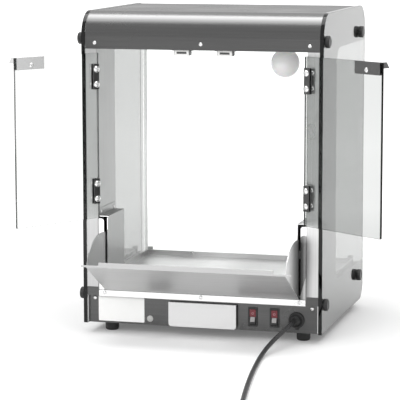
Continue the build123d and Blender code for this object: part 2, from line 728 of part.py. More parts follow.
def guard_floor():
    """The heights of the guard's floor."""
    return (GUARD_FLOOR, GUARD_FLOOR + THIN_SHEET)


def guard_notch():
    """The corner cut from the lower rear of the guard's inner wall."""
    low = (GUARD_FLOOR - 1, GUARD_FLOOR + GUARD_NOTCH)
    return block((GUARD_IN - 1, GUARD_WALL + 1), (GUARD_REAR_Y - GUARD_NOTCH, GUARD_REAR_Y + 1), low)


def guard_flange():
    """The narrow front face of the guard beside its slot, its inner top corner rounded."""
    top = FLAP_TOP - FLAP_SHEET - 2 * MOVING_GAP
    low = GUARD_FLOOR + GUARD_FLANGE_RISE
    face = Pos((FLANGE_IN + POST_IN) / 2, (low + top) / 2) * Rectangle(POST_IN - FLANGE_IN, top - low)
    corner = [v for v in face.vertices() if v.X < FLANGE_IN + 1 and v.Y > top - 1]
    sheet = Plane.XZ * fillet(corner, GUARD_CORNER)
    flange = Pos(0, FRONT_Y + THIN_SHEET, 0) * extrude(sheet, amount=THIN_SHEET)
    tie = block((POST_IN - THIN_SHEET, POST_IN), (FRONT_Y, GUARD_FRONT_Y), (low, top))
    return flange + tie


def guard_rivet(y):
    """A rivet from the guard's wing into the post."""
    z = GUARD_WING_TOP - RIVET_DROP
    inner = POST_IN - THIN_SHEET
    head = dome((inner, y, z), (-1, 0, 0), RIVET_HEAD_RADIUS, RIVET_HEAD)
    return head + rod((inner, y, z), (1, 0, 0), RIVET_RADIUS, THIN_SHEET)


def flap_pin():
    """The right-hand pin of the flap, riveted into the guard's inner wall."""
    start = (GUARD_IN, PIVOT_Y, PIVOT_Z)
    head = rod(start, (-1, 0, 0), PIVOT_HEAD, THIN_SHEET)
    return head + rod(start, (1, 0, 0), PIVOT_RADIUS, CHEEK_OUT - GUARD_IN + THIN_SHEET)


def cheek_outline():
    """The cheek in side view with the flap shut: straight in front, round behind."""
    heel = (FLAP_BACK_Y, PIVOT_Z + FLAP_HEEL)
    brow = (FLAP_BACK_Y, CHEEK_HIGH[1])
    rear = (CHEEK_CENTRE[0] + CHEEK_RADIUS, CHEEK_CENTRE[1])
    lead = Polyline(CHEEK_LOW, (PIVOT_Y, CHEEK_LOW[1]), heel, brow, CHEEK_HIGH)
    boss = Pos(PIVOT_Y, PIVOT_Z) * Circle(BOSS_RADIUS)
    return make_face(lead + ThreePointArc(CHEEK_HIGH, rear, CHEEK_LOW)) + boss


def opened(shape):
    """A piece of the shut flap, turned to where the flap rests open."""
    return shape.rotate(Axis((0, PIVOT_Y, PIVOT_Z), (1, 0, 0)), FLAP_OPEN_ANGLE)


def flap_cheek():
    """The right-hand cheek with its pivot bore and the tab that stops the flap."""
    cheek = extruded(cheek_outline(), CHEEK_IN, CHEEK_OUT)
    bore = PIVOT_RADIUS + PIN_CLEARANCE
    cheek -= rod((CHEEK_IN - 1, PIVOT_Y, PIVOT_Z), (1, 0, 0), bore, SHEET + 2)
    stop_y = FRONT_Y + THIN_SHEET + MOVING_GAP
    stop_z = (STOP_Z - STOP_HEIGHT / 2, STOP_Z + STOP_HEIGHT / 2)
    stop = block((CHEEK_OUT, CHEEK_OUT + STOP_WIDTH), (stop_y, stop_y + 2), stop_z)
    return opened(cheek) + stop


def flap_panel():
    """The flap's face, the wide strip along its top and the hemmed grip turned in from it."""
    face = block((-CHEEK_OUT, CHEEK_OUT), (FLAP_FRONT_Y, FLAP_BACK_Y), (PIVOT_Z + FLAP_HEEL, FLAP_TOP))
    edge = (FLAP_TOP - FLAP_SHEET, FLAP_TOP)
    wide = CHEEK_OUT + FLAP_EAR
    strip = block((-wide, wide), (FLAP_FRONT_Y, FLAP_FRONT_Y + FLAP_EAR_DEPTH), edge)
    grip = CHEEK_OUT - FLAP_LIP_INSET
    lip_y = FLAP_FRONT_Y + FLAP_LIP_DEPTH
    lip = block((-grip, grip), (FLAP_FRONT_Y, lip_y), edge)
    hem = block((-grip, grip), (lip_y - FLAP_SHEET, lip_y), (FLAP_TOP - FLAP_HEM, FLAP_TOP))
    return opened(face + strip + lip + hem)


# ---------------------------------------------------------------- doors and hinges

def door_glass():
    """The right-hand door glass, shut, with holes for its hinge bolts and handle screw."""
    glass = block((DOOR_MID_GAP, DOOR_OUT), (DOOR_FRONT_Y, DOOR_BACK_Y), (DOOR_BOTTOM, DOOR_TOP))
    glass = fillet(glass.edges().filter_by(Axis.Y), DOOR_CORNER)
    for z in bolt_heights():
        glass -= rod((BOLT_X, DOOR_FRONT_Y - 1, z), (0, 1, 0), HINGE_BOLT_RADIUS + 0.3, DOOR_THICK + 2)
    hole = (handle_screw_x(), DOOR_FRONT_Y - 1, handle_screw_z())
    return glass - rod(hole, (0, 1, 0), SCREW_RADIUS + 0.2, DOOR_THICK + 2)


def bolt_heights():
    """The heights of the four bolts in one door."""
    return [z + side * HINGE_BOLT_PITCH / 2 for z in HINGE_HEIGHTS for side in (-1, 1)]


def knuckle(z_low, z_high, bore):
    """A tube round the right-hand hinge axis."""
    height = z_high - z_low
    tube = rod((HINGE_X, HINGE_Y, z_low), (0, 0, 1), KNUCKLE_RADIUS, height)
    return tube - rod((HINGE_X, HINGE_Y, z_low - 1), (0, 0, 1), bore, height + 2)


def leaf_start():
    """How far a leaf stays off the hinge axis beside the other leaf's knuckles."""
    return KNUCKLE_RADIUS + 0.4


def moving_leaf(z):
    """The door's leaf on the outer face of the glass, with the middle knuckle."""
    half = HINGE_HEIGHT / 2
    third = HINGE_HEIGHT / 6 - MOVING_GAP / 2
    front = DOOR_FRONT_Y - LEAF_THICK
    far = HINGE_X - LEAF_REACH
    leaf = block((far, HINGE_X - leaf_start()), (front, DOOR_FRONT_Y), (z - half, z + half))
    neck = (front, DOOR_FRONT_Y - MOVING_GAP)
    leaf += block((HINGE_X - leaf_start(), HINGE_X), neck, (z - third, z + third))
    leaf -= rod((HINGE_X, HINGE_Y, z - half), (0, 0, 1), HINGE_PIN_RADIUS + PIN_CLEARANCE, HINGE_HEIGHT)
    leaf += knuckle(z - third, z + third, HINGE_PIN_RADIUS + PIN_CLEARANCE)
    for side in (-1, 1):
        bolt = (BOLT_X, front - 1, z + side * HINGE_BOLT_PITCH / 2)
        leaf -= rod(bolt, (0, 1, 0), HINGE_BOLT_RADIUS, LEAF_THICK + 2)
    return leaf


def clamp_plate(z):
    """The dark plate on the inner face of the glass, opposite the leaf."""
    half = HINGE_HEIGHT / 2
    wide = (HINGE_X - LEAF_REACH, DOOR_OUT)
    plate = block(wide, (DOOR_BACK_Y, DOOR_BACK_Y + CLAMP_THICK), (z - half, z + half))
    for side in (-1, 1):
        bolt = (BOLT_X, DOOR_BACK_Y - 1, z + side * HINGE_BOLT_PITCH / 2)
        plate -= rod(bolt, (0, 1, 0), HINGE_BOLT_RADIUS, CLAMP_THICK + 2)
    return plate


def hinge_bolt(z):
    """A bolt through leaf, glass and clamp plate, under a bright domed nut."""
    front = DOOR_FRONT_Y - LEAF_THICK
    back = DOOR_BACK_Y + CLAMP_THICK
    bolt = rod((BOLT_X, front, z), (0, 1, 0), HINGE_BOLT_RADIUS, back - front)
    bolt += dome((BOLT_X, back, z), (0, 1, 0), DOME_RADIUS, DOME_HEIGHT)
    return bolt + dome((BOLT_X, front, z), (0, -1, 0), HINGE_BOLT_RADIUS * 1.9, 1.5)


def fixed_leaf(z):
    """The post's leaf with the upper and lower knuckles."""
    half = HINGE_HEIGHT / 2
    third = HINGE_HEIGHT / 6 + MOVING_GAP / 2
    front = FRONT_Y - LEAF_THICK
    leaf = block((HINGE_X + leaf_start(), HINGE_X + LEAF_REACH), (front, FRONT_Y), (z - half, z + half))
    for low, high in ((z - half, z - third), (z + third, z + half)):
        neck = block((HINGE_X, HINGE_X + leaf_start()), (front, FRONT_Y), (low, high))
        neck -= rod((HINGE_X, HINGE_Y, low - 1), (0, 0, 1), HINGE_PIN_RADIUS, high - low + 2)
        leaf += neck
        leaf += knuckle(low, high, HINGE_PIN_RADIUS)
    for side in (-1, 1):
        place = (HINGE_X + LEAF_REACH / 2 + 1.5, front - 1, z + side * HINGE_BOLT_PITCH / 2)
        leaf -= rod(place, (0, 1, 0), SCREW_RADIUS, LEAF_THICK + 2)
    return leaf


def hinge_pin(z):
    """The pin of one hinge."""
    return rod((HINGE_X, HINGE_Y, z - HINGE_HEIGHT / 2), (0, 0, 1), HINGE_PIN_RADIUS, HINGE_HEIGHT)


def hinge_screws(z):
    """The two low-headed screws that hold a fixed leaf on its post."""
    front = FRONT_Y - LEAF_THICK
    screws = []
    for side in (-1, 1):
        place = (HINGE_X + LEAF_REACH / 2 + 1.5, front, z + side * HINGE_BOLT_PITCH / 2)
        head = dome(place, (0, -1, 0), HINGE_SCREW_RADIUS, 0.7)
        screws.append(head + rod(place, (0, 1, 0), SCREW_RADIUS, LEAF_THICK))
    return screws


def leaf_screws():
    """The screws of all four hinges."""
    return [twin for z in HINGE_HEIGHTS for piece in hinge_screws(z) for twin in both_sides(piece)]


def handle_screw_x():
    """How far the handle's screw is from the mid-plane."""
    return DOOR_MID_GAP + HANDLE_SCREW_INSET


def handle_screw_z():
    """The height of the handle's screw."""
    return DOOR_TOP - HANDLE_SCREW_DROP


def door_handle():
    """A plate on each face of the glass near its free edge, the outer one bent out into a finger tab."""
    end = DOOR_MID_GAP + HANDLE_INSET
    across, upright = (end, end + HANDLE_WIDTH), (DOOR_TOP - HANDLE_HEIGHT, DOOR_TOP)
    front = DOOR_FRONT_Y - HANDLE_SHEET
    plates = block(across, (DOOR_BACK_Y, DOOR_BACK_Y + HANDLE_SHEET), upright)
    plates += block(across, (front, DOOR_FRONT_Y), upright)
    tip = DOOR_FRONT_Y - TAB_REACH
    tab_low = DOOR_TOP - TAB_HEIGHT
    outline = [(DOOR_FRONT_Y, tab_low), (tip, tab_low), (tip + TAB_SLANT, DOOR_TOP), (DOOR_FRONT_Y, DOOR_TOP)]
    plates += extruded(make_face(Polyline(*outline, close=True)), end, end + HANDLE_SHEET)
    through = DOOR_THICK + 2 * HANDLE_SHEET
    return plates - rod((handle_screw_x(), front - 1, handle_screw_z()), (0, 1, 0), SCREW_RADIUS, through + 2)


def handle_screw():
    """The screw through both handle plates and the glass, with a washer head outside."""
    through = DOOR_THICK + 2 * HANDLE_SHEET
    front = (handle_screw_x(), DOOR_FRONT_Y - HANDLE_SHEET, handle_screw_z())
    bolt = rod(front, (0, 1, 0), SCREW_RADIUS, through)
    return bolt + dome(front, (0, -1, 0), SCREW_HEAD_RADIUS, SCREW_HEAD)


def swung(shape, side):
    """A piece of the shut right-hand door, placed on its side and turned to its rest angle."""
    if side == "right":
        return shape.rotate(Axis((HINGE_X, HINGE_Y, 0), (0, 0, 1)), RIGHT_DOOR_ANGLE)
    return mirrored(shape).rotate(Axis((-HINGE_X, HINGE_Y, 0), (0, 0, 1)), -LEFT_DOOR_ANGLE)


def door_nodes(side):
    """Every node that swings with one door."""
    leaves = [moving_leaf(z) for z in HINGE_HEIGHTS]
    clamps = [clamp_plate(z) for z in HINGE_HEIGHTS]
    bolts = [hinge_bolt(z) for z in bolt_heights()]
    parts = {
        "door_glass": [door_glass()],
        "hinge_leaves": leaves + clamps,
        "hinge_bolts": bolts + [handle_screw()],
        "door_handle": [door_handle()],
    }
    nodes = {}
    for name, pieces in parts.items():
        nodes[f"{name}_{side}"] = group([swung(piece, side) for piece in pieces])
    return nodes


# ---------------------------------------------------------------- catches, lamp, rear pane

def catch_centres():
    """Where the two magnetic catches sit across the hood."""
    return (CATCH_PAIR_SHIFT - CATCH_OFFSET, CATCH_PAIR_SHIFT + CATCH_OFFSET)


def catch_body(x):
    """The white housing of a catch, hollow for its magnet."""
    z = (HOOD_Z - CATCH_HEIGHT, HOOD_Z)
    body = block((x - CATCH_WIDTH / 2, x + CATCH_WIDTH / 2), (CATCH_Y, CATCH_Y + CATCH_DEPTH), z)
    return fillet(body.edges().filter_by(Axis.Z), 1.0) - catch_magnet(x)


def catch_magnet(x):
    """The magnet bar, flush with the front of its housing."""
    z = HOOD_Z - CATCH_HEIGHT / 2
    height = (z - MAGNET_HEIGHT / 2, z + MAGNET_HEIGHT / 2)
    return block((x - MAGNET_WIDTH / 2, x + MAGNET_WIDTH / 2), (CATCH_Y, CATCH_Y + MAGNET_DEPTH), height)


def catch_brackets(x):
    """The two small angles that hold a catch under the hood's lip."""
    edge = CATCH_WIDTH / 2
    across = (CATCH_Y + 3, CATCH_Y + CATCH_DEPTH - 3)
    upright = block((edge, edge + BRACKET_THICK), across, (HOOD_Z - CATCH_HEIGHT + 1, HOOD_Z))
    ear = block((edge, edge + BRACKET_EAR), across, (HOOD_Z - BRACKET_THICK, HOOD_Z))
    return [Pos(x, 0, 0) * piece for piece in both_sides(upright + ear)]


def lamp_bulb():
    """A golf-ball lamp: a globe that runs into a short neck."""
    globe = Pos(LAMP_X, LAMP_Y, BULB_Z) * Sphere(BULB_RADIUS)
    shoulder_z = BULB_Z + BULB_RADIUS * 0.8
    shoulder = math.sqrt(BULB_RADIUS**2 - (shoulder_z - BULB_Z) ** 2)
    cone = Cone(shoulder, NECK_RADIUS, NECK_TOP - shoulder_z, align=(Align.CENTER, Align.CENTER, Align.MIN))
    return globe + Pos(LAMP_X, LAMP_Y, shoulder_z) * cone


def lamp_cap():
    """The lamp's screw cap with its contact."""
    cap = rod((LAMP_X, LAMP_Y, NECK_TOP), (0, 0, 1), NECK_RADIUS, CAP_LENGTH)
    return cap + rod((LAMP_X, LAMP_Y, NECK_TOP + CAP_LENGTH), (0, 0, 1), NECK_RADIUS / 2, CAP_CONTACT)


def lamp_holder():
    """The lampholder in the ceiling, with a collar against its underside."""
    low = CEILING_Z - HOLDER_SKIRT
    axis = (LAMP_X, LAMP_Y)
    body = rod((*axis, low), (0, 0, 1), HOLDER_RADIUS, HOLDER_SKIRT + HOLDER_RISE)
    body += rod((*axis, CEILING_Z - 2), (0, 0, 1), HOLDER_RADIUS + HOLDER_COLLAR, 2)
    cap_top = NECK_TOP + CAP_LENGTH + CAP_CONTACT
    return body - rod((*axis, low), (0, 0, 1), NECK_RADIUS + STUD_CLEARANCE, cap_top - low)


def rear_pane():
    """The clear pane on the customer's side."""
    half = PLATE_IN - PANE_SIDE_GAP
    return block((-half, half), (PANE_Y, PANE_BACK_Y), (BASE_HEIGHT + THIN_SHEET, HOOD_Z + PANE_TUCK))


def pane_clip():
    """The right-hand clip over the lower corner of the rear pane."""
    x = (GLASS_IN - CLIP_INSET - CLIP_SIZE / 2, GLASS_IN - CLIP_INSET + CLIP_SIZE / 2)
    low = BASE_HEIGHT + THIN_SHEET
    front = block(x, (PANE_Y - CLIP_THICK, PANE_Y), (low, low + CLIP_SIZE + 6))
    back = block(x, (PANE_BACK_Y, PANE_BACK_Y + CLIP_THICK), (low, low + CLIP_SIZE + 6))
    foot_plate = block(x, (PANE_BACK_Y, PANE_BACK_Y + CLIP_SIZE), (low, low + CLIP_THICK))
    return [front, back + foot_plate]


# ---------------------------------------------------------------- tray and drawer

def tray_shape(inset, low, high):
    """The food tray's T-shaped plan as a solid slab, drawn in from its rim."""
    wide = TRAY_HALF - inset
    neck = TRAY_NECK - inset
    slab = block((-wide, wide), (TRAY_STEP_Y + inset, TRAY_REAR_Y - inset), (low, high))
    return slab + block((-neck, neck), (TRAY_FRONT_Y + inset, TRAY_STEP_Y + inset + 1), (low, high))


def food_tray():
    """The lift-out pan that holds the chips, with a narrow rim turned out."""
    rim = tray_shape(0, TRAY_TOP - THIN_SHEET, TRAY_TOP)
    walls = tray_shape(TRAY_RIM, TRAY_BOTTOM, TRAY_TOP)
    hollow = tray_shape(TRAY_RIM + THIN_SHEET, TRAY_BOTTOM + THIN_SHEET, TRAY_TOP + 1)
    return rim + walls - hollow


def crumb_drawer():
    """The drawer under the heater: a folded front with a lip, and an open-topped box behind it."""
    left = DRAWER_X - DRAWER_FRONT_WIDTH / 2
    right = DRAWER_X + DRAWER_FRONT_WIDTH / 2
    top = DRAWER_TOP
    middle = (FRAME_INSET + top) / 2
    face = Pos(DRAWER_X, middle) * Rectangle(DRAWER_FRONT_WIDTH, top - FRAME_INSET)
    low_corners = [v for v in face.vertices() if v.Y < middle]
    front = Pos(0, SHEET, 0) * extrude(Plane.XZ * fillet(low_corners, DRAWER_CORNER), amount=SHEET)
    lip = block((left, right), (0, DRAWER_LIP), (top, top + THIN_SHEET))
    front += lip + block((left, right), (0, THIN_SHEET), (top - 1, top + THIN_SHEET))
    box_x = (DRAWER_X - DRAWER_HALF, DRAWER_X + DRAWER_HALF)
    walls = (DRAWER_FLOOR, DRAWER_WALL_TOP)
    inner_x = (box_x[0] + THIN_SHEET, box_x[1] - THIN_SHEET)
    inner_y = (SHEET, DRAWER_LENGTH - THIN_SHEET)
    box = block(box_x, (0, DRAWER_LENGTH), walls)
    box -= block(inner_x, inner_y, (DRAWER_FLOOR + THIN_SHEET, walls[1] + 1))
    return front + box


def drawer_runner():
    """The right-hand angle on the base that guides the drawer."""
    x = DRAWER_HALF + MOVING_GAP
    along = (PANEL_BACK, DRAWER_LENGTH)
    upright = block((x, x + SHEET), along, (FRAME_INSET, FRAME_INSET + RUNNER_HEIGHT))
    flat = block((x, x + RUNNER_WIDTH), along, (FRAME_INSET, FRAME_INSET + SHEET))
    return upright + flat


def drawer_runners():
    """Both guides, set either side of the drawer's own centre line."""
    return [Pos(DRAWER_X, 0, 0) * runner for runner in both_sides(drawer_runner())]


# ---------------------------------------------------------------- switches and panel fittings

def switch_core(x, y_front, y_back):
    """The block that a switch fills in and behind the panel."""
    half_x = BEZEL_WIDTH / 2 - BEZEL_LAP
    half_z = BEZEL_HEIGHT / 2 - BEZEL_LAP
    return block((x - half_x, x + half_x), (y_front, y_back), (SWITCH_Z - half_z, SWITCH_Z + half_z))


def switch_body(x):
    """A switch housing: bezel, body, rocker well and trunnion holes."""
    bezel_z = (SWITCH_Z - BEZEL_HEIGHT / 2, SWITCH_Z + BEZEL_HEIGHT / 2)
    bezel_y = (PANEL_RECESS - BEZEL_RISE, PANEL_RECESS)
    body = block((x - BEZEL_WIDTH / 2, x + BEZEL_WIDTH / 2), bezel_y, bezel_z)
    body += switch_core(x, PANEL_RECESS, PANEL_RECESS + SWITCH_DEPTH)
    half_x = ROCKER_WIDTH / 2 + MOVING_GAP
    half_z = ROCKER_HEIGHT / 2 + 2.4 * MOVING_GAP
    well_y = (PANEL_RECESS - BEZEL_RISE - 1, ROCKER_Y + ROCKER_BACK + 4 * MOVING_GAP)
    body -= block((x - half_x, x + half_x), well_y, (SWITCH_Z - half_z, SWITCH_Z + half_z))
    reach = ROCKER_WIDTH / 2 + TRUNNION_LENGTH + PIN_CLEARANCE
    hole = TRUNNION_RADIUS + PIN_CLEARANCE
    return body - rod((x - reach, ROCKER_Y, SWITCH_Z), (1, 0, 0), hole, 2 * reach)


def rocker(x):
    """A rocker: a shallow V in front, trunnions at both sides, its upper half pressed in."""
    half = ROCKER_HEIGHT / 2
    tip = ROCKER_Y - ROCKER_PIVOT_DEPTH - ROCKER_RISE
    back = ROCKER_Y + ROCKER_BACK
    outline = [
        (tip, SWITCH_Z - half),
        (tip + ROCKER_HOLLOW, SWITCH_Z),
        (tip, SWITCH_Z + half),
        (ROCKER_Y, SWITCH_Z + half),
        (back, SWITCH_Z + half / 3),
        (back, SWITCH_Z - half / 3),
        (ROCKER_Y, SWITCH_Z - half),
    ]
    face = make_face(Polyline(*outline, close=True))
    body = extruded(face, x - ROCKER_WIDTH / 2, x + ROCKER_WIDTH / 2)
    reach = ROCKER_WIDTH / 2 + TRUNNION_LENGTH
    body += rod((x - reach, ROCKER_Y, SWITCH_Z), (1, 0, 0), TRUNNION_RADIUS, 2 * reach)
    return body.rotate(Axis((0, ROCKER_Y, SWITCH_Z), (1, 0, 0)), -ROCKER_ANGLE)


def label_plate():
    """The bare plate on the left of the control panel."""
    x = (LABEL_X - LABEL_WIDTH / 2, LABEL_X + LABEL_WIDTH / 2)
    z = (LABEL_Z - LABEL_HEIGHT / 2, LABEL_Z + LABEL_HEIGHT / 2)
    plate = block(x, (PANEL_RECESS - LABEL_THICK, PANEL_RECESS), z)
    return fillet(plate.edges().filter_by(Axis.Y), 1.5)


def round_cap():
    """A pale plug in a spare hole of the panel."""
    face = dome((CAP_X, PANEL_RECESS, CAP_Z), (0, -1, 0), CAP_RADIUS, CAP_RISE)
    return face + rod((CAP_X, PANEL_RECESS, CAP_Z), (0, 1, 0), CAP_RADIUS - 1, SHEET + 1)


def gland_tip():
    """The end of the gland's nose, where the cord comes out."""
    return (GLAND_X + GLAND_NOSE_X, PANEL_RECESS + GLAND_NOSE_Y, GLAND_Z + GLAND_NOSE_Z)


def cord_gland():
    """The cord's entry: a round flange with a small tab below, a nose in front and a nut behind."""
    face = (GLAND_X, PANEL_RECESS, GLAND_Z)
    flange = rod(face, (0, -1, 0), GLAND_FLANGE_RADIUS, GLAND_FLANGE_THICK)
    flange = fillet(flange.edges().filter_by(GeomType.CIRCLE).sort_by(Axis.Y)[0], 1.5)
    tab_x = (GLAND_X - 1.5, GLAND_X + GLAND_TAB - 1.5)
    tab_z = (GLAND_Z - GLAND_FLANGE_RADIUS - 2.0, GLAND_Z - GLAND_FLANGE_RADIUS + 3)
    flange += block(tab_x, (PANEL_RECESS - 3, PANEL_RECESS), tab_z)
    nose_start = (GLAND_X, PANEL_RECESS - GLAND_FLANGE_THICK + 1, GLAND_Z)
    run = Vector(*gland_tip()) - Vector(*nose_start)
    along = (Align.CENTER, Align.CENTER, Align.MIN)
    cone = Cone(GLAND_BODY_RADIUS, GLAND_NOSE_RADIUS, run.length, align=along)
    nose = Plane(origin=nose_start, z_dir=run) * cone
    barrel = rod(face, (0, 1, 0), GLAND_BODY_RADIUS, SHEET)
    nut = rod((GLAND_X, PANEL_BACK, GLAND_Z), (0, 1, 0), GLAND_FLANGE_RADIUS - 1.5, GLAND_NUT)
    return flange + nose + barrel + nut


# ---------------------------------------------------------------- heating and wiring

def heater_x(index):
    """How far the heater's leg of an index is from the mid-plane, counted from the outside."""
    return HEATER_PITCH * ((HEATER_LEGS - 1) / 2 - index)


def heating_element():
    """A tubular element bent to and fro, both ends turned down through the shield."""
    route = [(heater_x(0), HEATER_FRONT_Y, HEATER_Z - HEATER_TAIL)]
    for leg in range(HEATER_LEGS):
        ends = (HEATER_FRONT_Y, HEATER_REAR_Y)
        first, last = ends if leg % 2 == 0 else ends[::-1]
        route.append((heater_x(leg), first, HEATER_Z))
        route.append((heater_x(leg), last, HEATER_Z))
    route.append((heater_x(HEATER_LEGS - 1), HEATER_FRONT_Y, HEATER_Z - HEATER_TAIL))
    radii = [2 * HEATER_RADIUS] + [HEATER_BEND] * (len(route) - 4) + [2 * HEATER_RADIUS]
    return tube(route, radii, HEATER_RADIUS)


def tube(route, radii, radius):
    """A round tube along straight runs joined by arcs."""
    path = FilletPolyline(*route, radius=radii)
    start = path @ 0
    section = Plane(origin=start, z_dir=path % 0) * Circle(radius)
    return sweep(section, path=path)


def heater_saddle(x):
    """A saddle that holds the heater on its shield."""
    y = (HEATER_FRONT_Y + HEATER_REAR_Y) / 2
    body = block((x - 7, x + 7), (y - 4, y + 4), (SHIELD_TOP, HEATER_Z + HEATER_RADIUS + SHEET))
    return body - rod((x, y - 5, HEATER_Z), (0, 1, 0), HEATER_RADIUS, 10)


def thermal_cutout():
    """A disc thermostat under the shield."""
    return rod((GLASS_IN - CUTOUT_SIDE, CUTOUT_Y, SHIELD_HEIGHT), (0, 0, -1), CUTOUT_RADIUS, CUTOUT_HEIGHT)


def terminal_block():
    """The block where the cord meets the inner wires."""
    x = (TERMINAL_X - TERMINAL_SIZE / 2, TERMINAL_X + TERMINAL_SIZE / 2)
    y = (TERMINAL_Y, TERMINAL_Y + TERMINAL_LENGTH)
    return block(x, y, (FRAME_INSET, FRAME_INSET + TERMINAL_HEIGHT))


def wiring():
    """The wires from gland to terminals, from terminals to switches, and up the post to the lamp."""
    top = FRAME_INSET + TERMINAL_HEIGHT
    nut_end = PANEL_BACK + GLAND_NUT
    feed = [
        (GLAND_X, nut_end, GLAND_Z),
        (GLAND_X, nut_end + FEED_STRAIGHT, GLAND_Z),
        (TERMINAL_X, TERMINAL_Y - FEED_STRAIGHT, top - 5),
        (TERMINAL_X, TERMINAL_Y, top - 5),
    ]
    wires = [wire(feed, 6)]
    y_back = PANEL_RECESS + SWITCH_DEPTH
    edge = TERMINAL_X - TERMINAL_SIZE / 2
    for x, share in ((HEAT_SWITCH_X, 0.7), (LIGHT_SWITCH_X, 0.3)):
        y_end = TERMINAL_Y + TERMINAL_LENGTH * share
        wires.append(wire([(x, y_back, top - 6), (x, y_end, top - 6), (edge, y_end, top - 6)], 8))
    return wires + [lamp_wire(top - 6)]


def wire(route, bend):
    """One wire with even bends."""
    return tube(route, [bend] * (len(route) - 2), WIRE_RADIUS)


def climb_place():
    """Where the lamp's wire climbs inside the right-hand post, as (X, Y)."""
    return ((POST_IN + SHEET + PLATE_IN) / 2, POST_REAR_Y - CLIMB_INSET)


def wire_hole(z):
    """The hole for the lamp's wire in a sheet whose underside is at a height."""
    return rod((*climb_place(), z - 1), (0, 0, 1), WIRE_RADIUS + 1, SHEET + 2)


def lamp_wire(z_low):
    """The lamp's wire: from the terminals up inside the post and across the hood."""
    x, y = climb_place()
    z_high = CEILING_Z + CAP_LENGTH / 2
    edge = TERMINAL_X + TERMINAL_SIZE / 2
    climb = [(edge, y, z_low), (x, y, z_low), (x, y, z_high)]
    return wire(climb + [(LAMP_X, y, z_high), (LAMP_X, lamp_side(), z_high)], 4)


def lamp_side():
    """The near side of the lampholder."""
    return LAMP_Y - HOLDER_RADIUS


# ---------------------------------------------------------------- cord and plug

def arc_radii(route):
    """The largest even arc at each inner point of a route: 0.45 of the shorter run sets it."""
    radii = []
    for before, here, after in zip(route, route[1:], route[2:]):
        first = Vector(*here) - Vector(*before)
        second = Vector(*after) - Vector(*here)
        half_turn = math.radians(first.get_angle(second)) / 2
        radii.append(0.45 * min(first.length, second.length) / math.tan(half_turn))
    return radii


def cord_tube(route):
    """A stretch of the cord along its chosen points."""
    radii = arc_radii(route)
    print("cord radii", [round(radius, 1) for radius in radii])
    solid = tube(route, radii, CORD_RADIUS)
    length = FilletPolyline(*route, radius=radii).length
    expected = math.pi * CORD_RADIUS**2 * length
    print("cord length", round(length, 1), "volume share", round(solid.volume / expected, 4))
    return solid


def cord_coil():
    """The outer shape of the wound cord: a ring with rounded edges, flat on the surface."""
    section = Plane.XZ * Pos(COIL_RADIUS, 0) * RectangleRounded(COIL_WIDTH, COIL_HEIGHT, COIL_EDGE)
    ring = revolve(section, Axis.Z)
    return Pos(COIL_X, COIL_Y, TABLE_Z + COIL_HEIGHT / 2) * ring


def coil_tie():
    """The strap round the coil, on the side away from the cord's entry."""
    middle = COIL_X - COIL_RADIUS
    half = COIL_WIDTH / 2 + TIE_THICK
    along = (COIL_Y - TIE_WIDTH / 2, COIL_Y + TIE_WIDTH / 2)
    top = TABLE_Z + COIL_HEIGHT + TIE_THICK
    return block((middle - half, middle + half), along, (TABLE_Z, top)) - cord_coil()


def plug_frame():
    """The plug's own frame: at its neck's rear end, looking the way its pins point."""
    end = Vector(*LEAD_ROUTE[-1])
    run = end - Vector(*LEAD_ROUTE[-2])
    return Plane(origin=end, z_dir=Vector(run.X, run.Y, 0))


def plug_body():
    """A round moulded plug lying on its side, with a tapered neck."""
    up = (Align.CENTER, Align.CENTER, Align.MIN)
    neck = Cone(PLUG_NECK_RADIUS, PLUG_NECK_RADIUS * 1.7, PLUG_NECK, align=up)
    body = Pos(0, 0, PLUG_NECK) * Cylinder(PLUG_RADIUS, PLUG_LENGTH, align=up)
    body = chamfer(body.edges().filter_by(GeomType.CIRCLE), 2.5)
    return plug_frame() * (neck + body)


def plug_pins():
    """The plug's two round pins."""
    face = PLUG_NECK + PLUG_LENGTH
    along = (Align.CENTER, Align.CENTER, Align.MIN)
    pins = []
    for side in (-1, 1):
        place = Pos(side * PLUG_PIN_SPACING / 2, 0, face)
        pins.append(plug_frame() * place * Cylinder(PLUG_PIN_RADIUS, PLUG_PIN_LENGTH, align=along))
    return pins


# ---------------------------------------------------------------- the assembly

CORD_NODES = ["cord", "cord_coil", "cord_lead", "coil_tie", "plug"]


def cabinet_nodes():
    """The fixed pieces of the cabinet."""
    return {
        "side_glass_left": [mirrored(side_glass())],
        "side_glass_right": [side_glass()],
        "side_plate_left": [mirrored(side_plate())],
        "side_plate_right": [side_plate()],
        "glass_knobs": [twin for y, z in knob_places() for twin in both_sides(glass_knob(y, z))],
        "knob_studs": [twin for y, z in knob_places() for twin in both_sides(knob_stud(y, z))],
        "post_left": [mirrored(post())],
        "post_right": [post()],
        "hood_cover": [hood_cover()],
        "hood_ceiling": [hood_ceiling()],
        "cabinet_screws": hood_screws() + ledge_screws() + panel_screws() + foot_screws() + leaf_screws(),
        "base_pan": [base_pan()],
        "base_front": [base_front()],
        "ledge_strip": [ledge_strip()],
        "tray_rails": both_sides(tray_rail()),
        "tray_pads": tray_pads(),
        "heat_shield": [heat_shield()],
        "feet": [foot(x, y) for x, y in feet_places()],
        "rear_pane": [rear_pane()],
        "pane_clips": [piece for clip in pane_clip() for piece in both_sides(clip)],
    }


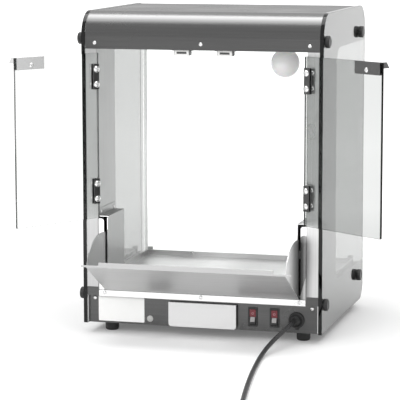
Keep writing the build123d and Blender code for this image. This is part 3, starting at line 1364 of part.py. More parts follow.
def front_nodes():
    """The fixed pieces that carry the flap, the doors and the lamp."""
    leaves = [twin for z in HINGE_HEIGHTS for twin in both_sides(fixed_leaf(z))]
    pins = [twin for z in HINGE_HEIGHTS for twin in both_sides(hinge_pin(z))]
    rivets = [twin for y in (RIVET_FRONT_Y, RIVET_REAR_Y) for twin in both_sides(guard_rivet(y))]
    return {
        "flap_guard_left": [mirrored(guard())],
        "flap_guard_right": [guard()],
        "guard_rivets": rivets,
        "pivot_pins": both_sides(flap_pin()) + pins,
        "hinge_fixed_leaves": leaves,
        "catch_bodies": [catch_body(x) for x in catch_centres()],
        "catch_magnets": [catch_magnet(x) for x in catch_centres()],
        "catch_brackets": [piece for x in catch_centres() for piece in catch_brackets(x)],
        "lamp_bulb": [lamp_bulb(), lamp_cap()],
        "lamp_holder": [lamp_holder()],
    }


def service_nodes():
    """Switch housings, panel fittings, heating, wiring and the cord."""
    saddles = [heater_saddle(heater_x(leg)) for leg in (0, 2, 3, 5)]
    return {
        "switch_bodies": [switch_body(HEAT_SWITCH_X), switch_body(LIGHT_SWITCH_X)],
        "label_plate": [label_plate()],
        "round_cap": [round_cap()],
        "cord_gland": [cord_gland()],
        "drawer_runners": drawer_runners(),
        "heating_element": [heating_element()],
        "heater_saddles": saddles,
        "thermal_cutout": [thermal_cutout()],
        "terminal_block": [terminal_block()],
        "wiring": wiring(),
        "cord": [cord_tube(CORD_ROUTE)],
        "cord_coil": [cord_coil()],
        "cord_lead": [cord_tube(LEAD_ROUTE)],
        "coil_tie": [coil_tie()],
        "plug": [plug_body()] + plug_pins(),
    }


def moving_nodes():
    """The pieces that lift, slide, tilt or swing."""
    nodes = {
        "food_tray": [food_tray()],
        "crumb_drawer": [crumb_drawer()],
        "rocker_heat": [rocker(HEAT_SWITCH_X)],
        "rocker_light": [rocker(LIGHT_SWITCH_X)],
        "flap_panel": [flap_panel()],
        "flap_cheek_left": [mirrored(flap_cheek())],
        "flap_cheek_right": [flap_cheek()],
    }
    return nodes


def all_nodes():
    """Every node in the working frame."""
    pieces = cabinet_nodes() | front_nodes() | service_nodes() | moving_nodes()
    nodes = {name: group(shapes) for name, shapes in pieces.items()}
    return nodes | door_nodes("left") | door_nodes("right")


def frame_origin(nodes):
    """The bottom centre of the box round everything but the cord."""
    boxes = [shape.bounding_box() for name, shape in nodes.items() if name not in CORD_NODES]
    low = [min(getattr(box.min, axis) for box in boxes) for axis in "XYZ"]
    high = [max(getattr(box.max, axis) for box in boxes) for axis in "XYZ"]
    return Vector((low[0] + high[0]) / 2, (low[1] + high[1]) / 2, low[2])


NODES = all_nodes()
ORIGIN = frame_origin(NODES)
os.makedirs("parts", exist_ok=True)
for node_name, node_shape in NODES.items():
    export_step(Pos(*(-ORIGIN)) * node_shape, f"parts/{node_name}.step")
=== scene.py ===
"""A counter-top chip warmer, dressed for the studio.

Every place is written in the cabinet's own frame, in millimetres: X across from the mid-plane, Y back
from the front edge of the side glasses and Z up from their bottom edge. place() turns it into metres
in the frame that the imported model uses.
"""

from __future__ import annotations

import logging
import math
from dataclasses import dataclass, field
from enum import Enum
from typing import Callable, Iterable, Sequence

import bmesh
import bpy
from mathutils import Matrix, Vector

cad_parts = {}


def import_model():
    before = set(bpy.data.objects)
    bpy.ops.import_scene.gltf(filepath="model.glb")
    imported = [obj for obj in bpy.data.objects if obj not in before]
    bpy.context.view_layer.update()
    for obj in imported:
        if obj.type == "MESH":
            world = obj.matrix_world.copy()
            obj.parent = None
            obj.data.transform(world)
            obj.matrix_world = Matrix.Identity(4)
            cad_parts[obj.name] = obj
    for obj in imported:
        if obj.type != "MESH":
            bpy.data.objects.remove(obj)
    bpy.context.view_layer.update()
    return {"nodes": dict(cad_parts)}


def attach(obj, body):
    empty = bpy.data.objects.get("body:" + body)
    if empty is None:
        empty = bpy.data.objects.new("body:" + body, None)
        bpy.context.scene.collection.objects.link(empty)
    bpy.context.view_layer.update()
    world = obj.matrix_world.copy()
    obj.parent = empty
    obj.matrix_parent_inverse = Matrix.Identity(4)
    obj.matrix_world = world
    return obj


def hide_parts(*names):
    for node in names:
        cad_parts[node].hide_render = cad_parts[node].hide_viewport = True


log = logging.getLogger("chip_warmer")

ORIGIN = (22.8011, 88.884, -15.0)
MM = 0.001
TABLE_Z = -15.0
MERGE = 0.00001
FLAT = math.radians(0.6)
Point = tuple[float, float, float]
Colour = tuple[float, float, float, float]


# ---------------------------------------------------------------- places and modelling tools

def place(point: Sequence[float]) -> Vector:
    """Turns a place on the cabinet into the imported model's frame.

    Args:
        point: X, Y and Z in millimetres in the cabinet's own frame.

    Returns:
        The same place in metres.
    """
    return (Vector(point) - Vector(ORIGIN)) * MM


def grey(level: float) -> Colour:
    """Gives a neutral colour.

    Args:
        level: Linear brightness from 0 to 1.

    Returns:
        The colour with full alpha.
    """
    return (level, level, level, 1.0)


def select_only(obj: bpy.types.Object) -> None:
    """Selects one object and makes it active.

    Args:
        obj: The object to work on.
    """
    bpy.ops.object.select_all(action="DESELECT")
    obj.select_set(True)
    bpy.context.view_layer.objects.active = obj


def pick(obj: bpy.types.Object, chosen: Callable[[bmesh.types.BMVert], bool]) -> None:
    """Selects the vertices of a mesh in edit mode that pass a test.

    Args:
        obj: The object in edit mode.
        chosen: The test that each vertex is put to.
    """
    bpy.ops.mesh.select_mode(type="VERT")
    bpy.ops.mesh.select_all(action="DESELECT")
    mesh = bmesh.from_edit_mesh(obj.data)
    for vertex in mesh.verts:
        if chosen(vertex):
            vertex.select_set(True)
    mesh.select_flush_mode()
    bmesh.update_edit_mesh(obj.data)


def apply_all(obj: bpy.types.Object) -> None:
    """Applies every modifier and the object's transform, so its place is in its mesh.

    Args:
        obj: The object to settle.
    """
    select_only(obj)
    for modifier in list(obj.modifiers):
        bpy.ops.object.modifier_apply(modifier=modifier.name)
    bpy.ops.object.transform_apply(location=True, rotation=True, scale=True)


def even_shading(obj: bpy.types.Object, angle: float) -> None:
    """Smooths an object's shading so that its large flat faces stay flat.

    Args:
        obj: The object to shade.
        angle: Edges sharper than this, in degrees, stay sharp.
    """
    select_only(obj)
    bpy.ops.object.shade_smooth_by_angle(angle=math.radians(angle))
    normals = obj.modifiers.new("normals", "WEIGHTED_NORMAL")
    normals.mode = "FACE_AREA"
    normals.weight = 100
    normals.keep_sharp = True
    bpy.ops.object.modifier_apply(modifier=normals.name)


def bevelled(obj: bpy.types.Object, width: float, segments: int = 2, angle: float = 32.0) -> None:
    """Rounds the sharp edges of an object and shades it.

    Args:
        obj: The object to finish.
        width: The width of the bevel in millimetres.
        segments: How many faces make the rounding.
        angle: Edges sharper than this, in degrees, are rounded.
    """
    edge = obj.modifiers.new("edge", "BEVEL")
    edge.width = width * MM
    edge.segments = segments
    edge.limit_method = "ANGLE"
    edge.angle_limit = math.radians(angle)
    edge.use_clamp_overlap = True
    apply_all(obj)
    even_shading(obj, angle)


def block(name: str, low: Point, high: Point, bevel: float = 0.4) -> bpy.types.Object:
    """Makes a box between two corners with rounded edges.

    Args:
        name: The piece's name.
        low: Its lowest corner in millimetres.
        high: Its highest corner in millimetres.
        bevel: The rounding of its edges in millimetres.

    Returns:
        The finished object.
    """
    a, b = place(low), place(high)
    bpy.ops.object.select_all(action="DESELECT")
    bpy.ops.mesh.primitive_cube_add(size=1.0, location=(a + b) / 2)
    piece = bpy.context.object
    piece.name = name
    piece.scale = b - a
    apply_all(piece)
    if bevel:
        bevelled(piece, bevel)
    return piece


def lathe(name: str, profile: Sequence[tuple[float, float]], steps: int = 32) -> bpy.types.Object:
    """Spins a profile round the Z axis of the origin, as on a lathe.

    Args:
        name: The piece's name.
        profile: Radius and height of each point in millimetres, from foot to tip.
        steps: How many faces go round.

    Returns:
        The closed shape, not yet put in its place.
    """
    bpy.ops.object.select_all(action="DESELECT")
    mesh = bpy.data.meshes.new(name)
    points = [(radius * MM, 0.0, height * MM) for radius, height in profile]
    mesh.from_pydata(points, [(i, i + 1) for i in range(len(points) - 1)], [])
    piece = bpy.data.objects.new(name, mesh)
    bpy.context.collection.objects.link(piece)
    select_only(piece)
    bpy.ops.object.mode_set(mode="EDIT")
    bpy.ops.mesh.select_all(action="SELECT")
    bpy.ops.mesh.spin(steps=steps, angle=2 * math.pi, center=(0, 0, 0), axis=(0, 0, 1))
    bpy.ops.mesh.select_all(action="SELECT")
    bpy.ops.mesh.remove_doubles(threshold=MERGE)
    bpy.ops.mesh.normals_make_consistent(inside=False)
    bpy.ops.object.mode_set(mode="OBJECT")
    return piece


def stand(piece: bpy.types.Object, foot: Point, axis: Point, smooth: float = 34.0) -> bpy.types.Object:
    """Puts a turned piece in its place.

    Args:
        piece: A piece made round the Z axis of the origin.
        foot: Where its height zero goes, in millimetres.
        axis: The direction that its height points in.
        smooth: Edges sharper than this, in degrees, stay sharp.

    Returns:
        The same piece.
    """
    turn = Vector(axis).to_track_quat("Z", "Y").to_matrix().to_4x4()
    piece.data.transform(Matrix.Translation(place(foot)) @ turn)
    select_only(piece)
    bpy.ops.object.shade_smooth_by_angle(angle=math.radians(smooth))
    return piece


def turned(
    name: str, profile: Sequence[tuple[float, float]], foot: Point, axis: Point, steps: int = 32
) -> bpy.types.Object:
    """Turns a piece and puts it in its place.

    Args:
        name: The piece's name.
        profile: Radius and height of each point in millimetres.
        foot: Where height zero goes, in millimetres.
        axis: The direction that the height points in.
        steps: How many faces go round.

    Returns:
        The finished object.
    """
    return stand(lathe(name, profile, steps), foot, axis)


def repeated(name: str, pattern: bpy.types.Object, spots: Iterable[tuple[Point, Point]]) -> bpy.types.Object:
    """Copies a turned pattern to several places and joins the copies.

    Args:
        name: The name of the result.
        pattern: A piece made round the Z axis of the origin; it is used up.
        spots: The foot and axis of each copy.

    Returns:
        One object that holds every copy.
    """
    copies = []
    for index, (foot, axis) in enumerate(spots):
        copies.append(stand(copied(pattern, f"{name}_{index}"), foot, axis))
    bpy.data.objects.remove(pattern)
    return joined(name, copies)


def merged(node: bpy.types.Object, name: str) -> bpy.types.Object:
    """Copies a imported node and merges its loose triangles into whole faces.

    Args:
        node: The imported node, which stays as it is.
        name: The new piece's name.

    Returns:
        The new piece.
    """
    piece = copied(node, name)
    select_only(piece)
    bpy.ops.object.mode_set(mode="EDIT")
    bpy.ops.mesh.select_all(action="SELECT")
    bpy.ops.mesh.remove_doubles(threshold=MERGE)
    bpy.ops.mesh.dissolve_limited(angle_limit=FLAT)
    bpy.ops.object.mode_set(mode="OBJECT")
    return piece


def toned(piece: bpy.types.Object, *tests: Callable[[Vector, Vector], bool]) -> None:
    """Gives each face the finish of the last test that it passes, or else the piece's first finish.

    Args:
        piece: A piece with one finish more than there are tests.
        tests: Each is told a face's centre, in metres, and its normal.
    """
    for face in piece.data.polygons:
        passed = [index for index, test in enumerate(tests, 1) if test(face.center, face.normal)]
        face.material_index = passed[-1] if passed else 0


def copied(source: bpy.types.Object, name: str) -> bpy.types.Object:
    """Copies a piece with its own mesh.

    Args:
        source: The piece to copy.
        name: The copy's name.

    Returns:
        The copy.
    """
    piece = source.copy()
    piece.data = source.data.copy()
    piece.name = name
    bpy.context.collection.objects.link(piece)
    return piece


def joined(name: str, pieces: Sequence[bpy.types.Object]) -> bpy.types.Object:
    """Joins pieces into one object.

    Args:
        name: The name of the result.
        pieces: The objects to join.

    Returns:
        The joined object.
    """
    bpy.ops.object.select_all(action="DESELECT")
    for piece in pieces:
        piece.select_set(True)
    bpy.context.view_layer.objects.active = pieces[0]
    if len(pieces) > 1:
        bpy.ops.object.join()
    result = bpy.context.object
    result.name = name
    return result


def mirror_matrix() -> Matrix:
    """Gives the mirror across the cabinet's mid-plane."""
    middle = place((0, 0, 0)).x
    return Matrix.Translation((2 * middle, 0, 0)) @ Matrix.Diagonal((-1, 1, 1, 1))


def swing_matrix(point: Point, axis: Point, degrees: float) -> Matrix:
    """Gives a turn about a line.

    Args:
        point: A point on the line, in millimetres.
        axis: The line's direction.
        degrees: The angle.

    Returns:
        The turn as a matrix in metres.
    """
    centre = place(point)
    turn = Matrix.Rotation(math.radians(degrees), 4, Vector(axis))
    return Matrix.Translation(centre) @ turn @ Matrix.Translation(-centre)


# ---------------------------------------------------------------- shared shader groups

class Shading:
    """Builds the node groups that several finishes share."""

    @staticmethod
    def group(name: str, inputs: dict[str, str], outputs: dict[str, str]) -> bpy.types.NodeTree:
        """Starts a shader group with named sockets.

        Args:
            name: The group's name.
            inputs: Input names and their socket types.
            outputs: Output names and their socket types.

        Returns:
            The group with its two end nodes.
        """
        tree = bpy.data.node_groups.new(name, "ShaderNodeTree")
        for label, kind in inputs.items():
            tree.interface.new_socket(name=label, in_out="INPUT", socket_type=kind)
        for label, kind in outputs.items():
            tree.interface.new_socket(name=label, in_out="OUTPUT", socket_type=kind)
        tree.nodes.new("NodeGroupInput")
        tree.nodes.new("NodeGroupOutput")
        return tree

    @staticmethod
    def rolled_grain() -> bpy.types.NodeTree:
        """Makes the fine streaks that rolling leaves in sheet steel.

        Returns:
            The group: Streak runs along the short side of Stretch, Cloud is broad and soft.
        """
        if "rolled_grain" in bpy.data.node_groups:
            return bpy.data.node_groups["rolled_grain"]
        tree = Shading.group(
            "rolled_grain",
            {"Vector": "NodeSocketVector", "Stretch": "NodeSocketVector"},
            {"Streak": "NodeSocketFloat", "Cloud": "NodeSocketFloat"},
        )
        ends, out = tree.nodes["Group Input"], tree.nodes["Group Output"]
        stretch = tree.nodes.new("ShaderNodeVectorMath")
        stretch.operation = "MULTIPLY"
        streak = tree.nodes.new("ShaderNodeTexNoise")
        streak.inputs["Scale"].default_value = 1.0
        streak.inputs["Detail"].default_value = 4.0
        streak.inputs["Roughness"].default_value = 0.62
        cloud = tree.nodes.new("ShaderNodeTexNoise")
        cloud.inputs["Scale"].default_value = 9.0
        cloud.inputs["Detail"].default_value = 3.0
        tree.links.new(ends.outputs["Vector"], stretch.inputs[0])
        tree.links.new(ends.outputs["Stretch"], stretch.inputs[1])
        tree.links.new(stretch.outputs[0], streak.inputs["Vector"])
        tree.links.new(ends.outputs["Vector"], cloud.inputs["Vector"])
        tree.links.new(streak.outputs["Fac"], out.inputs["Streak"])
        tree.links.new(cloud.outputs["Fac"], out.inputs["Cloud"])
        return tree

    @staticmethod
    def moulded_skin() -> bpy.types.NodeTree:
        """Makes the fine pebble and the faint dust of moulded plastic and rubber.

        Returns:
            The group: Pebble is the fine relief, Dust a sparse pale mask.
        """
        if "moulded_skin" in bpy.data.node_groups:
            return bpy.data.node_groups["moulded_skin"]
        tree = Shading.group(
            "moulded_skin",
            {"Vector": "NodeSocketVector", "Scale": "NodeSocketFloat"},
            {"Pebble": "NodeSocketFloat", "Dust": "NodeSocketFloat"},
        )
        ends, out = tree.nodes["Group Input"], tree.nodes["Group Output"]
        pebble = tree.nodes.new("ShaderNodeTexVoronoi")
        pebble.feature = "SMOOTH_F1"
        dust = tree.nodes.new("ShaderNodeTexNoise")
        dust.inputs["Scale"].default_value = 60.0
        dust.inputs["Detail"].default_value = 6.0
        rare = tree.nodes.new("ShaderNodeMapRange")
        rare.inputs["From Min"].default_value = 0.5
        rare.inputs["From Max"].default_value = 0.85
        tree.links.new(ends.outputs["Vector"], pebble.inputs["Vector"])
        tree.links.new(ends.outputs["Scale"], pebble.inputs["Scale"])
        tree.links.new(ends.outputs["Vector"], dust.inputs["Vector"])
        tree.links.new(dust.outputs["Fac"], rare.inputs["Value"])
        tree.links.new(pebble.outputs["Distance"], out.inputs["Pebble"])
        tree.links.new(rare.outputs["Result"], out.inputs["Dust"])
        return tree


class Recipe:
    """A material under construction: its tree, its shader and shortcuts for wiring."""

    def __init__(self, name: str) -> None:
        """Starts a material with an empty Principled shader.

        Args:
            name: The material's name.
        """
        self.material = bpy.data.materials.new(name)
        self.material.use_nodes = True
        self.tree = self.material.node_tree
        self.shader = self.tree.nodes["Principled BSDF"]
        self.output = self.tree.nodes["Material Output"]
        self.coordinates = self.tree.nodes.new("ShaderNodeTexCoord")

    def add(self, kind: str, **values: object) -> bpy.types.Node:
        """Adds a node and sets its named inputs.

        Args:
            kind: The node's type.
            values: Input names, with underscores for spaces, and their values.

        Returns:
            The node.
        """
        node = self.tree.nodes.new(kind)
        for label, value in values.items():
            node.inputs[label.replace("_", " ")].default_value = value
        return node

    def link(self, source: bpy.types.NodeSocket, target: bpy.types.NodeSocket) -> None:
        """Wires one socket to another."""
        self.tree.links.new(source, target)

    def set(self, **values: object) -> None:
        """Sets the shader's own sockets.

        Args:
            values: Socket names, with underscores for spaces, and their values.
        """
        for label, value in values.items():
            self.shader.inputs[label.replace("_", " ")].default_value = value

    def grouped(self, tree: bpy.types.NodeTree, **values: object) -> bpy.types.Node:
        """Places a shared group that reads object coordinates.

        Args:
            tree: The group.
            values: Its inputs.

        Returns:
            The group's node.
        """
        node = self.tree.nodes.new("ShaderNodeGroup")
        node.node_tree = tree
        for label, value in values.items():
            node.inputs[label].default_value = value
        self.link(self.coordinates.outputs["Object"], node.inputs["Vector"])
        return node

    def blend(
        self,
        mask: bpy.types.NodeSocket,
        dark: Colour,
        light: Colour,
        under: bpy.types.NodeSocket | None = None,
    ) -> bpy.types.NodeSocket:
        """Mixes two colours by a mask.

        Args:
            mask: The mask.
            dark: The colour where it is 0.
            light: The colour where it is 1.
            under: A varying colour that takes the dark one's place.

        Returns:
            The mixed colour.
        """
        mix = self.tree.nodes.new("ShaderNodeMix")
        mix.data_type = "RGBA"
        mix.inputs[6].default_value = dark
        mix.inputs[7].default_value = light
        self.link(mask, mix.inputs[0])
        if under:
            self.link(under, mix.inputs[6])
        return mix.outputs[2]

    def dimmed(self, colour: bpy.types.NodeSocket, mask: bpy.types.NodeSocket) -> bpy.types.NodeSocket:
        """Multiplies a colour by a mask.

        Args:
            colour: The colour.
            mask: How much of it is left.

        Returns:
            The product.
        """
        mix = self.tree.nodes.new("ShaderNodeMix")
        mix.data_type = "RGBA"
        mix.blend_type = "MULTIPLY"
        mix.inputs[0].default_value = 1.0
        self.link(colour, mix.inputs[6])
        self.link(mask, mix.inputs[7])
        return mix.outputs[2]

    def spread(self, mask: bpy.types.NodeSocket, low: float, high: float) -> bpy.types.NodeSocket:
        """Maps a mask that is mostly near 0.5 onto a range.

        Args:
            mask: The mask.
            low: The value where the mask is 0.3.
            high: The value where the mask is 0.7.

        Returns:
            The value.
        """
        return self.between(mask, (0.3, low), (0.7, high))

    def between(
        self, value: bpy.types.NodeSocket, start: tuple[float, float], end: tuple[float, float]
    ) -> bpy.types.NodeSocket:
        """Maps a value along a straight line that stops at both ends.

        Args:
            value: The value.
            start: Where the line starts: a value and what it becomes.
            end: Where the line ends, in the same way.

        Returns:
            The mapped value.
        """
        span = self.add(
            "ShaderNodeMapRange", From_Min=start[0], From_Max=end[0], To_Min=start[1], To_Max=end[1]
        )
        self.link(value, span.inputs["Value"])
        return span.outputs["Result"]

    def place_parts(self) -> bpy.types.Node:
        """Splits the object coordinates.

        Returns:
            A node with the X, Y and Z of each place.
        """
        parts = self.tree.nodes.new("ShaderNodeSeparateXYZ")
        self.link(self.coordinates.outputs["Object"], parts.inputs[0])
        return parts

    def relief(self, height: bpy.types.NodeSocket, strength: float, depth: float) -> None:
        """Feeds a height into the shader's normal.

        Args:
            height: The height mask.
            strength: How much of it shows.
            depth: The depth in metres.
        """
        bump = self.add("ShaderNodeBump", Strength=strength, Distance=depth)
        self.link(height, bump.inputs["Height"])
        self.link(bump.outputs["Normal"], self.shader.inputs["Normal"])


# ---------------------------------------------------------------- finishes

class Grain(Enum):
    """The way that the streaks of a sheet run."""

    ACROSS = (6.0, 900.0, 900.0)
    UPRIGHT = (900.0, 900.0, 6.0)
    DEEP = (900.0, 6.0, 900.0)


GRAIN_DEPTH = 0.00005
PEBBLE_DEPTH = 0.00006

# Each fade lists places along an axis, in millimetres, and how much of the colour is left there. The fades
# are painted reflection and shade: they stand for the dark surroundings that bright steel mirrors.
RIGHT_CHEEK_FADE = ((-72.0, 1.0), (-48.0, 0.66), (-35.0, 0.42), (-22.0, 0.28), (-9.0, 0.22), (-1.0, 0.18))
# The two guard fades paint shade on the guards' faces: a thin dark line along the left guard's inner edge,
# and on the right guard a broad dark band, painted shade and a painted reflection of the cheek.
LEFT_GUARD_EDGE_SHADE = ((-162.0, 0.25), (-161.0, 0.25), (-160.3, 1.0), (-140.0, 1.0))
RIGHT_GUARD_SHADE = (
    (140.0, 0.15), (153.4, 0.15), (154.9, 0.24), (156.4, 0.30), (157.9, 0.52), (160.0, 0.58), (161.0, 0.25),
    (162.0, 0.25),
)
RIGHT_POST_FADE = ((162.0, 0.42), (164.0, 0.50), (166.5, 0.66), (169.0, 0.79), (172.0, 0.90), (180.0, 0.95))
TRAY_FADE = ((-168.0, 0.58), (-120.0, 0.85), (-81.0, 1.0), (-40.0, 0.95), (21.0, 0.74), (168.0, 0.74))
# The front faces are shaded below this height, beside the open flap, and the shade thins out over the blend.
SHADE_TOP = 151.0
FADE_BLEND = 14.0


@dataclass(frozen=True)
class Steel:
    """Sheet steel with rolled grain, bright or dark, with a painted highlight on its bends and painted
    reflection and shade along a fade where these are set.

    Attributes:
        name: The material's name.
        light: Its linear brightness.
        rough: Its roughness.
        grain: The way that its streaks run.
        contrast: How much the streaks change the colour.
        depth: How much the streaks stand out.
        sheen: The brightness of a rounded bend that looks up, painted on as a highlight, or 0 for none.
        graze: The tint of its reflection at a flat angle.
        fade: Places along an axis and how much of the colour is left there: painted reflection and shade.
        along: The axis of the fade, 0 for X and 1 for Y.
        below: The height that the fade ends at, or 0 where it goes all the way up.
    """

    name: str
    light: float
    rough: float
    grain: Grain = Grain.ACROSS
    contrast: float = 0.06
    depth: float = 0.05
    sheen: float = 0.0
    graze: float = 1.0
    fade: tuple[tuple[float, float], ...] = ()
    along: int = 1
    below: float = 0.0

    def build(self) -> bpy.types.Material:
        """Makes the material.

        Returns:
            A brushed metal whose streaks change its colour, gloss and relief.
        """
        recipe = Recipe(self.name)
        grain = recipe.grouped(Shading.rolled_grain(), Stretch=self.grain.value)
        low = self.light * (1 - self.contrast)
        high = min(1.0, self.light * (1 + self.contrast))
        streak = recipe.spread(grain.outputs["Streak"], 0.0, 1.0)
        colour = recipe.blend(streak, grey(low), grey(high))
        # A painted highlight: the bends that look up and forward get a lighter colour.
        if self.sheen:
            colour = recipe.blend(self.painted_highlight_mask(recipe), grey(self.light), grey(self.sheen), colour)
        # Painted reflection and shade: the colour is dimmed along the fade.
        if self.fade:
            colour = recipe.dimmed(colour, self.fade_mask(recipe))
        recipe.link(colour, recipe.shader.inputs["Base Color"])
        gloss = recipe.spread(grain.outputs["Cloud"], self.rough * 0.88, self.rough * 1.12)
        recipe.link(gloss, recipe.shader.inputs["Roughness"])
        recipe.relief(grain.outputs["Streak"], self.depth, GRAIN_DEPTH)
        recipe.set(Metallic=1.0, Specular_Tint=grey(self.graze))
        return recipe.material

    def fade_mask(self, recipe: Recipe) -> bpy.types.NodeSocket:
        """Makes a mask that follows the finish's fade along its axis, the painted reflection and shade.

        Args:
            recipe: The material.

        Returns:
            How much of the colour is left at each place.
        """
        first, last = self.fade[0][0], self.fade[-1][0]
        parts = recipe.place_parts()
        start, end = (place((spot,) * 3)[self.along] for spot in (first, last))
        span = recipe.between(parts.outputs[self.along], (start, 0.0), (end, 1.0))
        ramp = recipe.tree.nodes.new("ShaderNodeValToRGB")
        ends = ramp.color_ramp.elements
        ends[0].color, ends[1].color = grey(self.fade[0][1]), grey(self.fade[-1][1])
        for spot, left in self.fade[1:-1]:
            ends.new((spot - first) / (last - first)).color = grey(left)
        recipe.link(span, ramp.inputs["Fac"])
        if not self.below:
            return ramp.outputs["Color"]
        low, high = (place((0.0, 0.0, height)).z for height in (self.below - FADE_BLEND, self.below))
        above = recipe.between(parts.outputs["Z"], (low, 0.0), (high, 1.0))
        return recipe.blend(above, grey(0.0), grey(1.0), ramp.outputs["Color"])

    @staticmethod
    def painted_highlight_mask(recipe: Recipe) -> bpy.types.NodeSocket:
        """Makes the mask of the painted highlight: 1 where a rounded bend looks up and forward.

        Args:
            recipe: The material.

        Returns:
            The mask, 0 on upright and on level faces.
        """
        geometry = recipe.tree.nodes.new("ShaderNodeNewGeometry")
        parts = recipe.tree.nodes.new("ShaderNodeSeparateXYZ")
        recipe.link(geometry.outputs["Normal"], parts.inputs[0])
        ramp = recipe.tree.nodes.new("ShaderNodeValToRGB")
        ramp.color_ramp.interpolation = "EASE"
        ends = ramp.color_ramp.elements
        ends[0].position, ends[0].color = 0.62, grey(0.0)
        ends[1].position, ends[1].color = 0.998, grey(0.0)
        for spot in (0.90, 0.975):
            ends.new(spot).color = grey(1.0)
        recipe.link(parts.outputs["Z"], ramp.inputs["Fac"])
        return ramp.outputs["Color"]


@dataclass(frozen=True)
class Moulded:
    """Moulded plastic or rubber with a pebbled skin and a little dust."""

    name: str
    colour: tuple[float, float, float]
    rough: float
    pebble: float = 1500.0
    depth: float = 0.15
    dust: float = 0.04
    sheen: float = 0.0

    def build(self) -> bpy.types.Material:
        """Makes the material.

        Returns:
            A plastic whose skin varies in colour, gloss and relief.
        """
        recipe = Recipe(self.name)
        skin = recipe.grouped(Shading.moulded_skin(), Scale=self.pebble)
        dusty = tuple(part + (0.5 - part) * self.dust for part in self.colour) + (1.0,)
        colour = recipe.blend(skin.outputs["Dust"], self.colour + (1.0,), dusty)
        recipe.link(colour, recipe.shader.inputs["Base Color"])
        dulled = recipe.between(skin.outputs["Dust"], (0.0, self.rough), (1.0, min(1.0, self.rough + 0.12)))
        recipe.link(dulled, recipe.shader.inputs["Roughness"])
        recipe.relief(skin.outputs["Pebble"], self.depth, PEBBLE_DEPTH)
        if self.sheen:
            recipe.set(Sheen_Weight=self.sheen, Sheen_Roughness=0.4)
        return recipe.material


@dataclass(frozen=True)
class SheetGlass:
    """Clear plate glass with ground edges that are painted dark as shade.

    Attributes:
        name: The material's name.
        face: The direction in the room that its two large faces look in at rest, either way.
        tint: How much light passes through the large faces.
        edge: How much light passes through the edges; a low value paints them dark as shade.
        bend: Its refractive index.
    """

    name: str
    face: Point
    tint: float = 0.985
    edge: float = 0.01
    bend: float = 1.48

    def build(self) -> bpy.types.Material:
        """Makes the material.

        Returns:
            Glass that is clear through its faces and painted dark at its edges as shade, and lets the lamps
            through.
        """
        recipe = Recipe(self.name)
        geometry = recipe.tree.nodes.new("ShaderNodeNewGeometry")
        along = recipe.tree.nodes.new("ShaderNodeVectorMath")
        along.operation = "DOT_PRODUCT"
        along.inputs[1].default_value = self.face
        recipe.link(geometry.outputs["True Normal"], along.inputs[0])
        size = recipe.tree.nodes.new("ShaderNodeMath")
        size.operation = "ABSOLUTE"
        recipe.link(along.outputs["Value"], size.inputs[0])
        flat = recipe.between(size.outputs[0], (0.93, 0.0), (0.99, 1.0))
        face = (self.tint * 0.985, self.tint, self.tint * 0.99, 1.0)
        # The edges take the edge colour: painted shade.
        recipe.link(recipe.blend(flat, grey(self.edge), face), recipe.shader.inputs["Base Color"])
        smear = recipe.add("ShaderNodeTexNoise", Scale=14.0, Detail=3.0)
        recipe.link(recipe.coordinates.outputs["Object"], smear.inputs["Vector"])
        haze = recipe.between(smear.outputs["Fac"], (0.5, 0.0), (0.8, 0.015))
        recipe.link(haze, recipe.shader.inputs["Roughness"])
        recipe.set(Transmission_Weight=1.0, IOR=self.bend)
        path = recipe.tree.nodes.new("ShaderNodeLightPath")
        clear = recipe.tree.nodes.new("ShaderNodeBsdfTransparent")
        clear.inputs["Color"].default_value = (0.93, 0.94, 0.935, 1.0)
        both = recipe.tree.nodes.new("ShaderNodeMixShader")
        recipe.link(path.outputs["Is Shadow Ray"], both.inputs[0])
        recipe.link(recipe.shader.outputs[0], both.inputs[1])
        recipe.link(clear.outputs[0], both.inputs[2])
        recipe.link(both.outputs[0], recipe.output.inputs["Surface"])
        return recipe.material


@dataclass(frozen=True)
class OpalGlass:
    """The frosted globe of a small lamp."""

    name: str

    def build(self) -> bpy.types.Material:
        """Makes the material.

        Returns:
            A milky, faintly uneven glass with a weak painted glow.
        """
        recipe = Recipe(self.name)
        skin = recipe.grouped(Shading.moulded_skin(), Scale=900.0)
        colour = recipe.blend(skin.outputs["Dust"], grey(0.93), grey(0.86))
        recipe.link(colour, recipe.shader.inputs["Base Color"])
        recipe.relief(skin.outputs["Pebble"], 0.05, 0.00004)
        recipe.set(Roughness=0.22, Coat_Weight=0.6, Coat_Roughness=0.08)
        # Painted glow: the lamp is off, and the weak emission only makes the globe look lighter.
        recipe.set(Emission_Color=grey(1.0), Emission_Strength=0.21)
        recipe.set(Subsurface_Weight=0.2, Subsurface_Scale=0.01)
        return recipe.material


